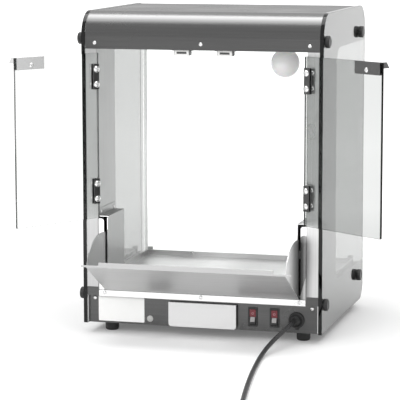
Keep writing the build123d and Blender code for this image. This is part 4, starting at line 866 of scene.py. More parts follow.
class Finishes:
    """Every finish of the cabinet, built once."""

    def __init__(self) -> None:
        """Builds the materials."""
        self.bright = Steel("bright_steel", 0.83, 0.20).build()
        # The left and right copies of the guard faces, cheeks and post faces are the same steel: their
        # different brightness is painted reflection and shade.
        self.flange = {
            "left": Steel(
                "left_guard_face_steel", 0.96, 0.07, Grain.UPRIGHT, 0.02, fade=LEFT_GUARD_EDGE_SHADE, along=0
            ).build(),
            "right": Steel(
                "right_guard_face_steel", 0.74, 0.07, Grain.UPRIGHT, 0.02,
                fade=RIGHT_GUARD_SHADE, along=0, below=SHADE_TOP,
            ).build(),
        }
        self.cheek = {
            "left": Steel("left_cheek_steel", 0.38, 0.40, Grain.UPRIGHT).build(),
            "right": Steel("right_cheek_steel", 0.80, 0.40, Grain.UPRIGHT, fade=RIGHT_CHEEK_FADE).build(),
        }
        self.post_face = {
            "left": Steel("left_post_face_steel", 0.50, 0.30, Grain.UPRIGHT).build(),
            "right": Steel(
                "right_post_face_steel", 0.67, 0.30, Grain.UPRIGHT,
                fade=RIGHT_POST_FADE, along=0, below=SHADE_TOP,
            ).build(),
        }
        # The posts' folds are painted nearly black as shade.
        self.post_fold_shade = Steel("post_fold_shade_steel", 0.14, 0.35, Grain.UPRIGHT).build()
        # The inner walls of the posts and guards are the same steel as the posts' faces, painted darker as
        # shade.
        self.wall = Steel("shaded_wall_steel", 0.30, 0.30, Grain.UPRIGHT).build()
        # The two side plates are the same steel: their different brightness is painted reflection and shade.
        self.side = {
            "left": Steel("left_side_steel", 0.60, 0.34, Grain.UPRIGHT).build(),
            "right": Steel("right_side_steel", 0.80, 0.34, Grain.UPRIGHT).build(),
        }
        self.satin = Steel("satin_steel", 0.72, 0.45).build()
        self.flap = Steel("flap_steel", 0.62, 0.45).build()
        self.lip = Steel("flap_lip_steel", 0.66, 0.20).build()
        self.tray = Steel("tray_steel", 0.94, 0.30, fade=TRAY_FADE, along=0).build()
        # The dark steel's sheen is a painted highlight on the rounded bends of the hood and base.
        self.dark = Steel(
            "dark_steel", 0.108, 0.26, contrast=0.10, depth=0.10, sheen=0.27, graze=0.72
        ).build()
        self.dark_hinge = Steel("dark_hinge_steel", 0.12, 0.35, Grain.UPRIGHT, 0.10).build()
        self.fixed_leaf = Steel("fixed_leaf_steel", 0.42, 0.35, Grain.UPRIGHT, 0.08).build()
        self.shaded_return = Steel("shaded_return_steel", 0.04, 0.35, Grain.UPRIGHT, 0.10).build()
        self.shaded = Steel("shaded_handle_steel", 0.13, 0.35, contrast=0.10).build()
        self.shaded_tab = Steel("shaded_tab_steel", 0.07, 0.35, contrast=0.10).build()
        self.plain = Steel("plain_steel", 0.58, 0.36, Grain.DEEP).build()
        self.screw = Steel("screw_steel", 0.80, 0.16, Grain.DEEP, 0.04).build()
        self.enamel = Moulded("pale_enamel", (0.75, 0.75, 0.75), 0.30, 900.0, 0.06, 0.05).build()
        # All the glasses are clear: the low tints of the side glasses and of the doors, which differ between
        # the two doors, paint the shade seen through them.
        self.side_glass = SheetGlass("side_glass", (1.0, 0.0, 0.0), 0.36, 0.003, 1.4).build()
        self.left_door = SheetGlass("left_door_glass", (0.862, -0.508, 0.0), 0.80, 0.05, 1.2).build()
        self.right_door = SheetGlass("right_door_glass", (0.576, 0.817, 0.0), 0.60, 0.01, 1.2).build()
        # The doors' glass ends by their pins are painted dark as shade.
        self.glass_end_shade = Moulded("shaded_door_glass_end", (0.10, 0.10, 0.10), 0.5, 1400.0, 0.2, 0.0).build()
        self.pane = SheetGlass("pane_glass", (0.0, 1.0, 0.0), 0.995, 0.35).build()
        self.opal = OpalGlass("opal_glass").build()
        self.black = Moulded("black_plastic", (0.012, 0.012, 0.012), 0.34).build()
        self.rubber = Moulded("black_rubber", (0.016, 0.016, 0.016), 0.55, 1100.0, 0.3).build()
        self.white = Moulded("white_plastic", (0.80, 0.80, 0.79), 0.35).build()
        self.cap = Moulded("cap_plastic", (0.46, 0.46, 0.45), 0.35).build()
        self.plate = Moulded("bare_plate", (0.90, 0.90, 0.89), 0.28, 700.0, 0.05, 0.03).build()
        self.magnet = Moulded("magnet_ferrite", (0.06, 0.06, 0.06), 0.5, 2600.0, 0.3).build()
        self.red = Moulded("rocker_red", (0.15, 0.018, 0.025), 0.22, 1500.0, 0.05).build()
        self.lens = Moulded("rocker_lens", (0.34, 0.33, 0.33), 0.18, 1500.0, 0.03).build()
        self.mark = Moulded("rocker_mark", (0.36, 0.16, 0.18), 0.35, 1500.0, 0.03).build()
        self.element = Steel("heater_tube", 0.36, 0.45, Grain.DEEP, 0.15).build()
        self.wire = Moulded("wire_sleeve", (0.55, 0.30, 0.16), 0.4).build()
        self.silicone = Moulded("pad_silicone", (0.45, 0.16, 0.10), 0.6).build()
        self.lead = Moulded("mains_lead", (0.022, 0.022, 0.023), 0.42, 1400.0, 0.2, 0.06).build()


def wear(obj: bpy.types.Object, *finishes: bpy.types.Material) -> None:
    """Puts finishes on an object in slot order.

    Args:
        obj: The piece or node.
        finishes: Its materials.
    """
    obj.data.materials.clear()
    for finish in finishes:
        obj.data.materials.append(finish)


# ---------------------------------------------------------------- studio

@dataclass(frozen=True)
class Softbox:
    """One rectangular lamp.

    Attributes:
        name: The lamp's name.
        spot: Where it hangs, in metres.
        aim: What it faces, in metres.
        size: Its width and depth in metres.
        power: Its power in watts.
        mirrored: Whether bright steel shows its reflection.
    """

    name: str
    spot: Point
    aim: Point
    size: tuple[float, float]
    power: float
    mirrored: bool = True

    def hang(self) -> None:
        """Hangs the lamp."""
        data = bpy.data.lights.new(self.name, "AREA")
        data.shape = "RECTANGLE"
        data.size, data.size_y = self.size
        data.energy = self.power
        lamp = bpy.data.objects.new(self.name, data)
        bpy.context.collection.objects.link(lamp)
        lamp.visible_glossy = self.mirrored
        lamp.location = self.spot
        lamp.rotation_euler = (Vector(self.aim) - Vector(self.spot)).to_track_quat("-Z", "Y").to_euler()


@dataclass
class Studio:
    """The camera, the pale floor, the lamps and the world.

    Attributes:
        eye: The camera's place, in millimetres on the cabinet.
        turn: How far the camera turns to the left, in radians.
        dip: How far it looks down.
        tilt: How far it leans.
        lens: Its focal length in millimetres.
        sensor: The width of its sensor in millimetres.
        ambient: The world's strength as light.
        floor_size: The floor's width in metres.
        floor_tone: The floor's linear brightness.
        near_glow: A distance from the middle in metres, and what is added to the floor's brightness there.
        far_glow: The same further away.
        front_glow: A distance behind the middle, and what is added there on top.
        back_glow: The same further back.
        lamps: The softboxes.
    """

    eye: Point = (783.831, -2840.537, 624.612)
    turn: float = 0.269613
    dip: float = 0.144154
    tilt: float = -0.001404
    lens: float = 179.359
    sensor: float = 36.0
    ambient: float = 0.60
    floor_size: float = 40.0
    floor_tone: float = 0.86
    near_glow: tuple[float, float] = (0.45, 0.14)
    far_glow: tuple[float, float] = (1.3, 0.55)
    front_glow: tuple[float, float] = (0.5, 0.0)
    back_glow: tuple[float, float] = (2.4, 0.35)
    lamps: tuple[Softbox, ...] = (
        Softbox("top_softbox", (0.0, 0.0, 1.7), (0.0, 0.0, 0.3), (1.8, 1.1), 21.0),
        Softbox("front_softbox", (-0.6, -2.2, 1.2), (0.0, 0.0, 0.25), (1.2, 1.2), 27.0, mirrored=False),
    )

    def camera(self) -> None:
        """Makes the scene's camera."""
        data = bpy.data.cameras.new("camera")
        data.lens = self.lens
        data.sensor_width = self.sensor
        data.clip_start, data.clip_end = 0.1, 60.0
        camera = bpy.data.objects.new("camera", data)
        bpy.context.collection.objects.link(camera)
        yaw = Matrix.Rotation(self.turn, 4, "Z")
        pitch = Matrix.Rotation(math.pi / 2 - self.dip, 4, "X")
        roll = Matrix.Rotation(self.tilt, 4, "Z")
        camera.matrix_world = Matrix.Translation(place(self.eye)) @ yaw @ pitch @ roll
        bpy.context.scene.camera = camera

    def world(self) -> None:
        """Makes an even white world that is dimmer as light than as background."""
        world = bpy.data.worlds.new("white_room")
        bpy.context.scene.world = world
        world.use_nodes = True
        tree = world.node_tree
        tree.nodes.clear()
        output = tree.nodes.new("ShaderNodeOutputWorld")
        seen = tree.nodes.new("ShaderNodeBackground")
        seen.inputs["Strength"].default_value = 1.0
        lighting = tree.nodes.new("ShaderNodeBackground")
        lighting.inputs["Strength"].default_value = self.ambient
        for node in (seen, lighting):
            node.inputs["Color"].default_value = grey(1.0)
        mix = tree.nodes.new("ShaderNodeMixShader")
        tree.links.new(self.shown(tree), mix.inputs[0])
        tree.links.new(lighting.outputs[0], mix.inputs[1])
        tree.links.new(seen.outputs[0], mix.inputs[2])
        tree.links.new(mix.outputs[0], output.inputs["Surface"])

    @staticmethod
    def shown(tree: bpy.types.NodeTree) -> bpy.types.NodeSocket:
        """Gives a mask for the rays that should meet the bright background.

        Args:
            tree: The node tree that needs the mask.

        Returns:
            1 for camera, glossy and transmission rays, else 0.
        """
        path = tree.nodes.new("ShaderNodeLightPath")
        first = tree.nodes.new("ShaderNodeMath")
        first.operation = "MAXIMUM"
        second = tree.nodes.new("ShaderNodeMath")
        second.operation = "MAXIMUM"
        tree.links.new(path.outputs["Is Camera Ray"], first.inputs[0])
        tree.links.new(path.outputs["Is Glossy Ray"], first.inputs[1])
        tree.links.new(first.outputs[0], second.inputs[0])
        tree.links.new(path.outputs["Is Transmission Ray"], second.inputs[1])
        return second.outputs[0]

    def floor(self) -> None:
        """Makes the pale floor that keeps the cabinet's shadow."""
        bpy.ops.object.select_all(action="DESELECT")
        bpy.ops.mesh.primitive_plane_add(size=self.floor_size, location=(0, 0, 0))
        floor = bpy.context.object
        floor.name = "floor"
        recipe = Recipe("pale_floor")
        tree = recipe.tree
        tree.nodes.remove(recipe.shader)
        matt = recipe.add("ShaderNodeBsdfDiffuse", Color=grey(self.floor_tone))
        glow = recipe.add("ShaderNodeEmission", Color=grey(1.0))
        away = tree.nodes.new("ShaderNodeVectorMath")
        away.operation = "LENGTH"
        recipe.link(recipe.coordinates.outputs["Object"], away.inputs[0])
        both = recipe.add("ShaderNodeMath")
        recipe.link(recipe.between(away.outputs["Value"], self.near_glow, self.far_glow), both.inputs[0])
        depth = recipe.place_parts().outputs["Y"]
        recipe.link(recipe.between(depth, self.front_glow, self.back_glow), both.inputs[1])
        lift = recipe.add("ShaderNodeMath")
        lift.operation = "MULTIPLY"
        recipe.link(self.shown(tree), lift.inputs[0])
        recipe.link(both.outputs[0], lift.inputs[1])
        recipe.link(lift.outputs[0], glow.inputs["Strength"])
        total = tree.nodes.new("ShaderNodeAddShader")
        recipe.link(matt.outputs[0], total.inputs[0])
        recipe.link(glow.outputs[0], total.inputs[1])
        recipe.link(total.outputs[0], recipe.output.inputs["Surface"])
        wear(floor, recipe.material)

    def build(self) -> None:
        """Sets up everything round the cabinet."""
        self.world()
        self.floor()
        for lamp in self.lamps:
            lamp.hang()
        bpy.context.scene.view_settings.view_transform = "Standard"
        log.info("studio ready")


# ---------------------------------------------------------------- mains lead

@dataclass
class MainsLead:
    """The mains lead: out of the gland, down to the table, along it, a tied coil and the plug.

    Attributes:
        radius: Half the lead's thickness.
        length: Its length from the gland to the plug, in metres; not used.
        coil_centre: X and Y of the coil's middle.
        outer: The radius of the coil's outermost turn.
        pitch: How far a turn lies from the next.
        inward_turns: The turns that lie on the table.
        outward_turns: The turns on top of them.
        points_per_turn: The control points of a turn.
        climb_ahead: How many turns before the lower layer's end the lead starts to climb.
        climb_turns: How many turns the climb takes.
        layer: The height of the upper layer over the lower, in thicknesses.
        table: The height of the lead's middle where it lies on the table.
        out: The route from the gland to the coil.
        home: The route from the coil to the plug.
    """

    radius: float = 3.35
    length: float = 1.63
    coil_centre: tuple[float, float] = (121.0, -475.0)
    outer: float = 44.5
    pitch: float = 6.9
    inward_turns: float = 2.0
    outward_turns: float = 2.25
    points_per_turn: int = 16
    climb_ahead: float = 0.35
    climb_turns: float = 0.5
    layer: float = 1.01
    table: float = -11.65
    out: tuple[Point, ...] = (
        (144.5, -8.0, 21.0),
        (142.8, -22.0, 18.5),
        (136.8, -37.0, 12.4),
        (127.6, -52.5, 3.6),
        (120.0, -74.0, -6.0),
        (119.0, -108.0, -11.65),
        (124.8, -158.0, -11.65),
        (132.2, -213.0, -11.65),
        (141.0, -270.0, -11.65),
        (151.0, -328.0, -11.65),
        (161.8, -386.0, -11.65),
        (165.2, -438.0, -11.65),
    )
    home: tuple[Point, ...] = (
        (96.0, -522.0, -9.6),
        (72.0, -528.5, -11.65),
        (51.0, -542.5, -8.5),
        (34.5, -562.5, -0.5),
        (24.0, -587.5, 3.0),
    )

    def coil(self) -> list[Point]:
        """Lays the turns of the tied coil: inwards on the table, then outwards on top.

        Returns:
            The control points of the turns.
        """
        inner = self.outer - self.pitch * self.inward_turns
        reach = 1 / math.cos(math.pi / self.points_per_turn)
        whole = self.inward_turns + self.outward_turns
        count = round(whole * self.points_per_turn)
        points = []
        for index in range(count + 1):
            turn = index / self.points_per_turn
            inward = min(turn, self.inward_turns)
            outward = max(0.0, turn - self.inward_turns)
            radius = (self.outer - self.pitch * inward + self.pitch * outward) * reach
            climb = min(1.0, max(0.0, (turn - self.inward_turns + self.climb_ahead) / self.climb_turns))
            angle = -2 * math.pi * turn
            x = self.coil_centre[0] + max(inner, radius) * math.cos(angle)
            y = self.coil_centre[1] + max(inner, radius) * math.sin(angle)
            points.append((x, y, self.table + 2 * self.radius * self.layer * climb))
        return points

    def build(self, finish: Finishes) -> bpy.types.Object:
        """Args:
            finish: The finishes.

        Returns:
            The curve object.
        """
        data = bpy.data.curves.new("mains_lead", "CURVE")
        data.dimensions = "3D"
        data.bevel_depth = self.radius * MM
        data.bevel_resolution = 5
        data.resolution_u = 6
        data.use_fill_caps = True
        spline = data.splines.new("NURBS")
        route = list(self.out) + self.coil() + list(self.home)
        spline.points.add(len(route) - 1)
        for point, spot in zip(spline.points, route):
            point.co = (*place(spot), 1.0)
        spline.order_u = 3
        spline.use_endpoint_u = True
        lead = bpy.data.objects.new("mains_lead", data)
        bpy.context.collection.objects.link(lead)
        wear(lead, finish.lead)
        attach(lead, "cabinet")
        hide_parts("cord", "cord_coil", "cord_lead")
        return lead


# ---------------------------------------------------------------- the cabinet's pieces

Nodes = dict[str, bpy.types.Object]


@dataclass
class Assembly:
    """A sub-assembly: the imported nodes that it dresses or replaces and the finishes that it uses."""

    nodes: Nodes
    finish: Finishes

    def add(self, piece: bpy.types.Object, body: str, slot: str, *replaced: str) -> bpy.types.Object:
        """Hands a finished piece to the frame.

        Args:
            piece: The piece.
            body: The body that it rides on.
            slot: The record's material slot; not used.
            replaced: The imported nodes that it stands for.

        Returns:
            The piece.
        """
        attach(piece, body)
        if replaced:
            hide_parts(*replaced)
        log.info("%s: %d faces", piece.name, len(getattr(piece.data, "polygons", [])))
        return piece

    def dress(self, finish: bpy.types.Material, *names: str) -> None:
        """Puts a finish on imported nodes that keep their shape.

        Args:
            finish: The material.
            names: The nodes' names.
        """
        for name in names:
            wear(self.nodes[name], finish)

    def sheet(
        self, node: str, body: str, slot: str, width: float, *finishes: bpy.types.Material
    ) -> bpy.types.Object:
        """Replaces a packed sheet-metal node by a copy with rounded edges.

        Args:
            node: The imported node.
            body: The body that it rides on.
            slot: Its material slot in the record.
            width: The rounding in millimetres.
            finishes: Its finishes.

        Returns:
            The new piece.
        """
        piece = merged(self.nodes[node], f"{node}_sheet")
        bevelled(piece, width)
        wear(piece, *finishes)
        return self.add(piece, body, slot, node)


@dataclass
class Glazing(Assembly):
    """The side glasses, their plates behind, and the rear pane."""

    inner: float = 180.0
    gap: float = 0.12
    edge: float = 0.35

    def side(self, side: str) -> None:
        """Makes one side glass with ground edges, a hair off the plate behind it.

        Args:
            side: left or right.
        """
        name = f"side_glass_{side}"
        piece = merged(self.nodes[name], f"{name}_ground")
        sign = -1 if side == "left" else 1
        inner = place((sign * self.inner, 0, 0)).x
        bpy.ops.object.mode_set(mode="EDIT")
        pick(piece, lambda v: abs(v.co.x - inner) < 2 * MERGE)
        bpy.ops.transform.translate(value=(sign * self.gap * MM, 0, 0))
        bpy.ops.object.mode_set(mode="OBJECT")
        bevelled(piece, self.edge)
        wear(piece, self.finish.side_glass)
        self.add(piece, "cabinet", "clear_glass", name)

    def build(self) -> None:
        """Makes the glasses and plates."""
        for side in ("left", "right"):
            self.side(side)
            self.sheet(f"side_plate_{side}", "cabinet", "bright_steel", 0.25, self.finish.side[side])
        self.dress(self.finish.pane, "rear_pane")
        self.sheet("pane_clips", "cabinet", "plain_steel", 0.3, self.finish.plain)


@dataclass
class GlassKnobs(Assembly):
    """The eight grooved thumb knobs that clamp the side glasses."""

    radius: float = 9.0
    length: float = 7.4
    depth: float = 0.55
    columns: int = 60
    groove_every: int = 3
    outer: float = 186.0
    places: tuple[tuple[float, float], ...] = ((11.0, 45.0), (11.0, 435.0), (268.0, 45.0), (268.0, 435.0))

    def pattern(self) -> bpy.types.Object:
        """Turns one knob and presses its grooves in.

        Returns:
            The knob at the origin.
        """
        r, h = self.radius, self.length
        profile = [
            (0.0, 0.0), (r - 1.2, 0.0), (r - 0.9, 0.5), (r - 0.2, 0.8), (r, 1.2), (r, h - 1.4),
            (r - 0.5, h - 0.5), (r - 1.4, h), (r - 2.8, h), (r - 3.2, h - 0.6), (0.0, h - 0.6),
        ]
        knob = lathe("knob_pattern", profile, self.columns)
        bpy.ops.object.mode_set(mode="EDIT")
        step = 2 * math.pi / self.columns

        def groove(vertex: bmesh.types.BMVert) -> bool:
            """Tells whether a vertex lies at the bottom of a groove."""
            index = round(math.atan2(vertex.co.y, vertex.co.x) / step)
            return vertex.co.xy.length > (r - 0.6) * MM and index % self.groove_every == 0

        pick(knob, groove)
        shrink = 1 - self.depth / r
        bpy.ops.transform.resize(value=(shrink, shrink, 1.0), center_override=(0.0, 0.0, 0.0))
        bpy.ops.object.mode_set(mode="OBJECT")
        return knob

    def build(self) -> None:
        """Makes the knobs and dresses their studs."""
        spots = []
        for y, z in self.places:
            for sign in (-1.0, 1.0):
                spots.append(((sign * self.outer, y, z), (sign, 0.0, 0.0)))
        knobs = repeated("thumb_knobs", self.pattern(), spots)
        wear(knobs, self.finish.black)
        self.add(knobs, "cabinet", "black_plastic", "glass_knobs")
        self.dress(self.finish.screw, "knob_studs")


@dataclass
class Carcass(Assembly):
    """The sheet-metal body: hood, posts, base, guards and the small fixings on them."""

    head_radius: float = 3.0
    front: float = 0.8
    rear: float = 319.2
    ledge_front: float = -0.4
    hood_screws: tuple[float, ...] = (-165.0, 0.0, 165.0)
    hood_screw_height: float = 429.0
    ledge_screws: tuple[float, ...] = (-152.0, 0.0, 152.0)
    ledge_screw_height: float = 48.8
    panel_screw: Point = (169.8, 7.0, 38.8)
    feet_across: tuple[float, ...] = (-151.0, 151.0)
    feet_back: tuple[float, ...] = (33.0, 287.0)
    foot_screw_height: float = 2.0
    leaf_front: float = -0.4
    leaf_screw: float = 169.7
    leaf_middles: tuple[float, ...] = (206.0, 379.0)
    leaf_screw_offset: float = 11.4
    tray_screw: Point = (-92.6, 283.2, 65.5)

    def sheets(self) -> None:
        """Rounds the edges of every sheet."""
        f = self.finish
        self.sheet("hood_cover", "cabinet", "dark_steel", 0.35, f.dark)
        front = self.sheet("base_front", "cabinet", "dark_steel", 0.35, f.dark, f.shaded_return)
        toned(front, lambda centre, normal: normal.x > 0.7)
        self.sheet("base_pan", "cabinet", "dark_steel", 0.35, f.dark)
        self.sheet("ledge_strip", "cabinet", "bright_steel", 0.3, f.bright)
        for side in ("left", "right"):
            # The posts' and guards' inner walls and the posts' folds wear darker copies of their steel as
            # painted shade; the left and right faces differ as painted reflection and shade.
            post = self.sheet(
                f"post_{side}", "cabinet", "bright_steel", 0.35, f.wall, f.post_face[side], f.post_fold_shade
            )
            inward = 1 if side == "left" else -1
            toned(
                post,
                lambda centre, normal: normal.y < -0.6,
                lambda centre, normal: -0.985 < normal.y < -0.15 and normal.x * inward > 0.15,
            )
            guard = self.sheet(f"flap_guard_{side}", "cabinet", "bright_steel", 0.3, f.wall, f.flange[side])
            toned(guard, lambda centre, normal: normal.y < -0.6)
        self.dress(f.plain, "hood_ceiling", "tray_rails", "heat_shield", "drawer_runners")

    def screw_spots(self) -> list[tuple[Point, Point]]:
        """Lists the heads of the hood's, ledge's, panel's and feet's screws.

        Returns:
            The foot and axis of each head.
        """
        ahead, behind, up = (0.0, -1.0, 0.0), (0.0, 1.0, 0.0), (0.0, 0.0, 1.0)
        x, y, z = self.panel_screw
        spots: list[tuple[Point, Point]] = []
        for across in self.hood_screws:
            spots.append(((across, self.front, self.hood_screw_height), ahead))
            spots.append(((across, self.rear, self.hood_screw_height), behind))
        for across in self.ledge_screws:
            spots.append(((across, self.ledge_front, self.ledge_screw_height), ahead))
        spots += [((side * x, y, z), ahead) for side in (-1, 1)]
        for across in self.feet_across:
            spots += [((across, back, self.foot_screw_height), up) for back in self.feet_back]
        for across in (-self.leaf_screw, self.leaf_screw):
            for middle in self.leaf_middles:
                for offset in (-self.leaf_screw_offset, self.leaf_screw_offset):
                    spots.append(((across, self.leaf_front, middle + offset), ahead))
        return spots

    def screws(self) -> None:
        """Makes the pan-head screws with their recesses."""
        r = self.head_radius
        profile = [
            (0.0, 0.0), (r, 0.0), (r, 0.45), (r - 0.25, 0.95), (r - 0.9, 1.4), (1.35, 1.6), (1.05, 0.9),
            (0.0, 0.8),
        ]
        heads = repeated("pan_heads", lathe("head_pattern", profile, 20), self.screw_spots())
        wear(heads, self.finish.screw)
        self.add(heads, "cabinet", "screw_steel", "cabinet_screws")
        self.dress(self.finish.screw, "guard_rivets", "pivot_pins")
        tray_screw = turned("tray_screw", profile, self.tray_screw, (0.0, -1.0, 0.0), 20)
        wear(tray_screw, self.finish.screw)
        self.add(tray_screw, "tray", "screw_steel")

    def feet(self) -> None:
        """Turns the four feet."""
        profile = [
            (0.0, 0.0), (6.0, 0.0), (8.2, 0.35), (9.6, 1.3), (10.3, 2.8), (10.5, 4.5), (10.5, 13.6),
            (10.9, 13.9), (10.9, 15.4), (10.5, 15.7), (0.0, 15.7),
        ]
        up = (0.0, 0.0, 1.0)
        spots = [((across, back, TABLE_Z), up) for across in self.feet_across for back in self.feet_back]
        feet = repeated("turned_feet", lathe("foot_pattern", profile, 40), spots)
        wear(feet, self.finish.rubber)
        self.add(feet, "cabinet", "rubber_black", "feet")

    def build(self) -> None:
        """Makes the body."""
        self.sheets()
        self.screws()
        self.feet()


@dataclass
class Flap(Assembly):
    """The drop-down flap with its cheeks."""

    def build(self) -> None:
        """Rounds the flap's sheets."""
        panel = self.sheet("flap_panel", "flap", "bright_steel", 0.25, self.finish.flap, self.finish.lip)
        toned(panel, lambda centre, normal: normal.y < -0.7 and normal.z > 0.3)
        for side in ("left", "right"):
            self.sheet(f"flap_cheek_{side}", "flap", "bright_steel", 0.3, self.finish.cheek[side])


@dataclass
class Doors(Assembly):
    """The two glass doors with their hinges, bolts and handles.

    Attributes:
        hinge: X and Y of the right-hand door's pins.
        bolt: X of the bolts on the shut door.
        heights: The bolts' heights.
        leaf_front: Y of the leaves' front on the shut door.
        clamp_back: Y of the clamp plates' rear on the shut door.
        screw: The handle screw's distance from the mid-plane and its height.
        handle_front: Y of the handle's inner plate on the shut door.
        handle_back: Y of its outer plate on the shut door.
        end_to: How far from its pin the ground end of a door's glass reaches; that end is painted dark as
            shade.
        tab_from: How far from its pin the finger tab starts.
        swing: How far each door stands open at rest, in degrees.
    """

    hinge: tuple[float, float] = (162.2, -1.7)
    bolt: float = 155.6
    heights: tuple[float, ...] = (194.6, 217.4, 367.6, 390.4)
    leaf_front: float = -0.4
    clamp_back: float = 6.3
    screw: tuple[float, float] = (31.5, 402.7)
    handle_front: float = -0.4
    handle_back: float = 6.0
    end_to: float = 9.0
    tab_from: float = 157.8
    swing: dict[str, float] = field(default_factory=lambda: {"left": -120.5, "right": 144.8})

    def swung(self, piece: bpy.types.Object, side: str) -> bpy.types.Object:
        """Turns a piece of the shut right-hand door to where its door rests.

        Args:
            piece: The piece, made on the shut right-hand door.
            side: left or right.

        Returns:
            The piece in its place.
        """
        sign = -1 if side == "left" else 1
        if side == "left":
            piece.data.transform(mirror_matrix())
            piece.data.flip_normals()
        turn = swing_matrix((sign * self.hinge[0], self.hinge[1], 0.0), (0.0, 0.0, 1.0), self.swing[side])
        piece.data.transform(turn)
        return piece

    def bolts(self, side: str) -> None:
        """Makes a door's bolts under domed nuts and the screw of its handle.

        Args:
            side: left or right.
        """
        ahead, behind = (0.0, -1.0, 0.0), (0.0, 1.0, 0.0)
        nut = [
            (0.0, 0.0), (5.2, 0.0), (5.2, 1.1), (4.9, 1.9), (4.2, 2.7), (3.3, 3.2), (2.5, 3.4), (2.1, 3.2),
            (1.9, 1.6), (0.0, 1.4),
        ]
        head = [(0.0, 0.0), (3.8, 0.0), (3.7, 0.6), (3.0, 1.2), (1.6, 1.5), (1.2, 0.8), (0.0, 0.7)]
        washer = [
            (0.0, 0.0), (3.6, 0.0), (3.6, 0.5), (3.1, 1.1), (2.3, 1.4), (1.5, 1.3), (1.3, 0.5), (0.0, 0.4),
        ]
        shank = [(0.0, 0.0), (1.95, 0.0), (1.95, 6.7), (0.0, 6.7)]
        x, z = self.screw
        patterns = {
            "nuts": (nut, [((self.bolt, self.clamp_back, high), behind) for high in self.heights]),
            "heads": (head, [((self.bolt, self.leaf_front, high), ahead) for high in self.heights]),
            "shanks": (shank, [((self.bolt, self.leaf_front, high), behind) for high in self.heights]),
            "screw": (washer, [((x, self.handle_back, z), behind), ((x, self.handle_front, z), ahead)]),
        }
        pieces = [
            repeated(f"door_{side}_{name}", lathe(f"{name}_pattern", profile, 28), spots)
            for name, (profile, spots) in patterns.items()
        ]
        piece = self.swung(joined(f"door_bolts_{side}", pieces), side)
        wear(piece, self.finish.screw)
        self.add(piece, f"door_{side}", "screw_steel", f"hinge_bolts_{side}")

    def build(self) -> None:
        """Makes both doors."""
        f = self.finish
        # The right door's handle wears the shaded finishes, painted shade, where the left one wears satin
        # steel.
        doors = (
            ("left", f.left_door, (f.satin, f.satin)),
            ("right", f.right_door, (f.shaded, f.shaded_tab)),
        )
        for side, glass, handles in doors:
            body = f"door_{side}"
            pin = place(((-1 if side == "left" else 1) * self.hinge[0], self.hinge[1], 0.0)).xy
            pane = self.sheet(f"door_glass_{side}", body, "clear_glass", 0.45, glass, f.glass_end_shade)
            toned(pane, lambda centre, normal: (centre.xy - pin).length < self.end_to * MM)
            self.sheet(f"hinge_leaves_{side}", body, "plain_steel", 0.25, f.dark_hinge)
            handle = self.sheet(f"door_handle_{side}", body, "bright_steel", 0.25, *handles)
            toned(handle, lambda centre, normal: (centre.xy - pin).length > self.tab_from * MM)
            self.bolts(side)
        self.sheet("hinge_fixed_leaves", "cabinet", "plain_steel", 0.2, f.fixed_leaf)


@dataclass
class Interior(Assembly):
    """The lamp, the catches, the tray and what lies under it."""

    lamp: Point = (94.0, 150.0, 392.3)
    globe: float = 22.3

    def bulb(self) -> None:
        """Turns the lamp's globe with its neck and screw cap."""
        r = self.globe
        profile = [(r * math.sin(a), -r * math.cos(a)) for a in (math.pi * i / 26 for i in range(22))]
        profile += [(8.2, 21.8), (7.2, 25.0), (6.8, 28.3), (0.0, 28.4)]
        profile[0] = (0.0, -r)
        globe = turned("lamp_globe", profile, self.lamp, (0.0, 0.0, 1.0), 48)
        wear(globe, self.finish.opal)
        self.add(globe, "cabinet", "lamp_glass", "lamp_bulb")
        thread = [(0.0, 28.4)]
        for ring in range(7):
            thread += [(6.7, 28.6 + 2.8 * ring), (6.1, 30.0 + 2.8 * ring)]
        thread += [(6.2, 48.6), (3.4, 51.5), (3.4, 53.6), (0.0, 54.2)]
        cap = turned("lamp_cap", thread, self.lamp, (0.0, 0.0, 1.0), 32)
        wear(cap, self.finish.screw)
        self.add(cap, "cabinet", "screw_steel")

    def build(self) -> None:
        """Makes the pieces inside the cabinet."""
        f = self.finish
        self.bulb()
        self.sheet("catch_bodies", "cabinet", "white_plastic", 0.4, f.white)
        self.sheet("catch_brackets", "cabinet", "plain_steel", 0.2, f.dark_hinge)
        self.sheet("catch_magnets", "cabinet", "magnet", 0.2, f.magnet)
        self.sheet("food_tray", "tray", "bright_steel", 0.3, f.tray)
        self.sheet("lamp_holder", "cabinet", "white_plastic", 0.5, f.white)
        self.dress(f.silicone, "tray_pads")
        self.dress(f.element, "heating_element")
        self.dress(f.plain, "heater_saddles", "thermal_cutout")
        self.dress(f.white, "terminal_block")
        self.dress(f.wire, "wiring")


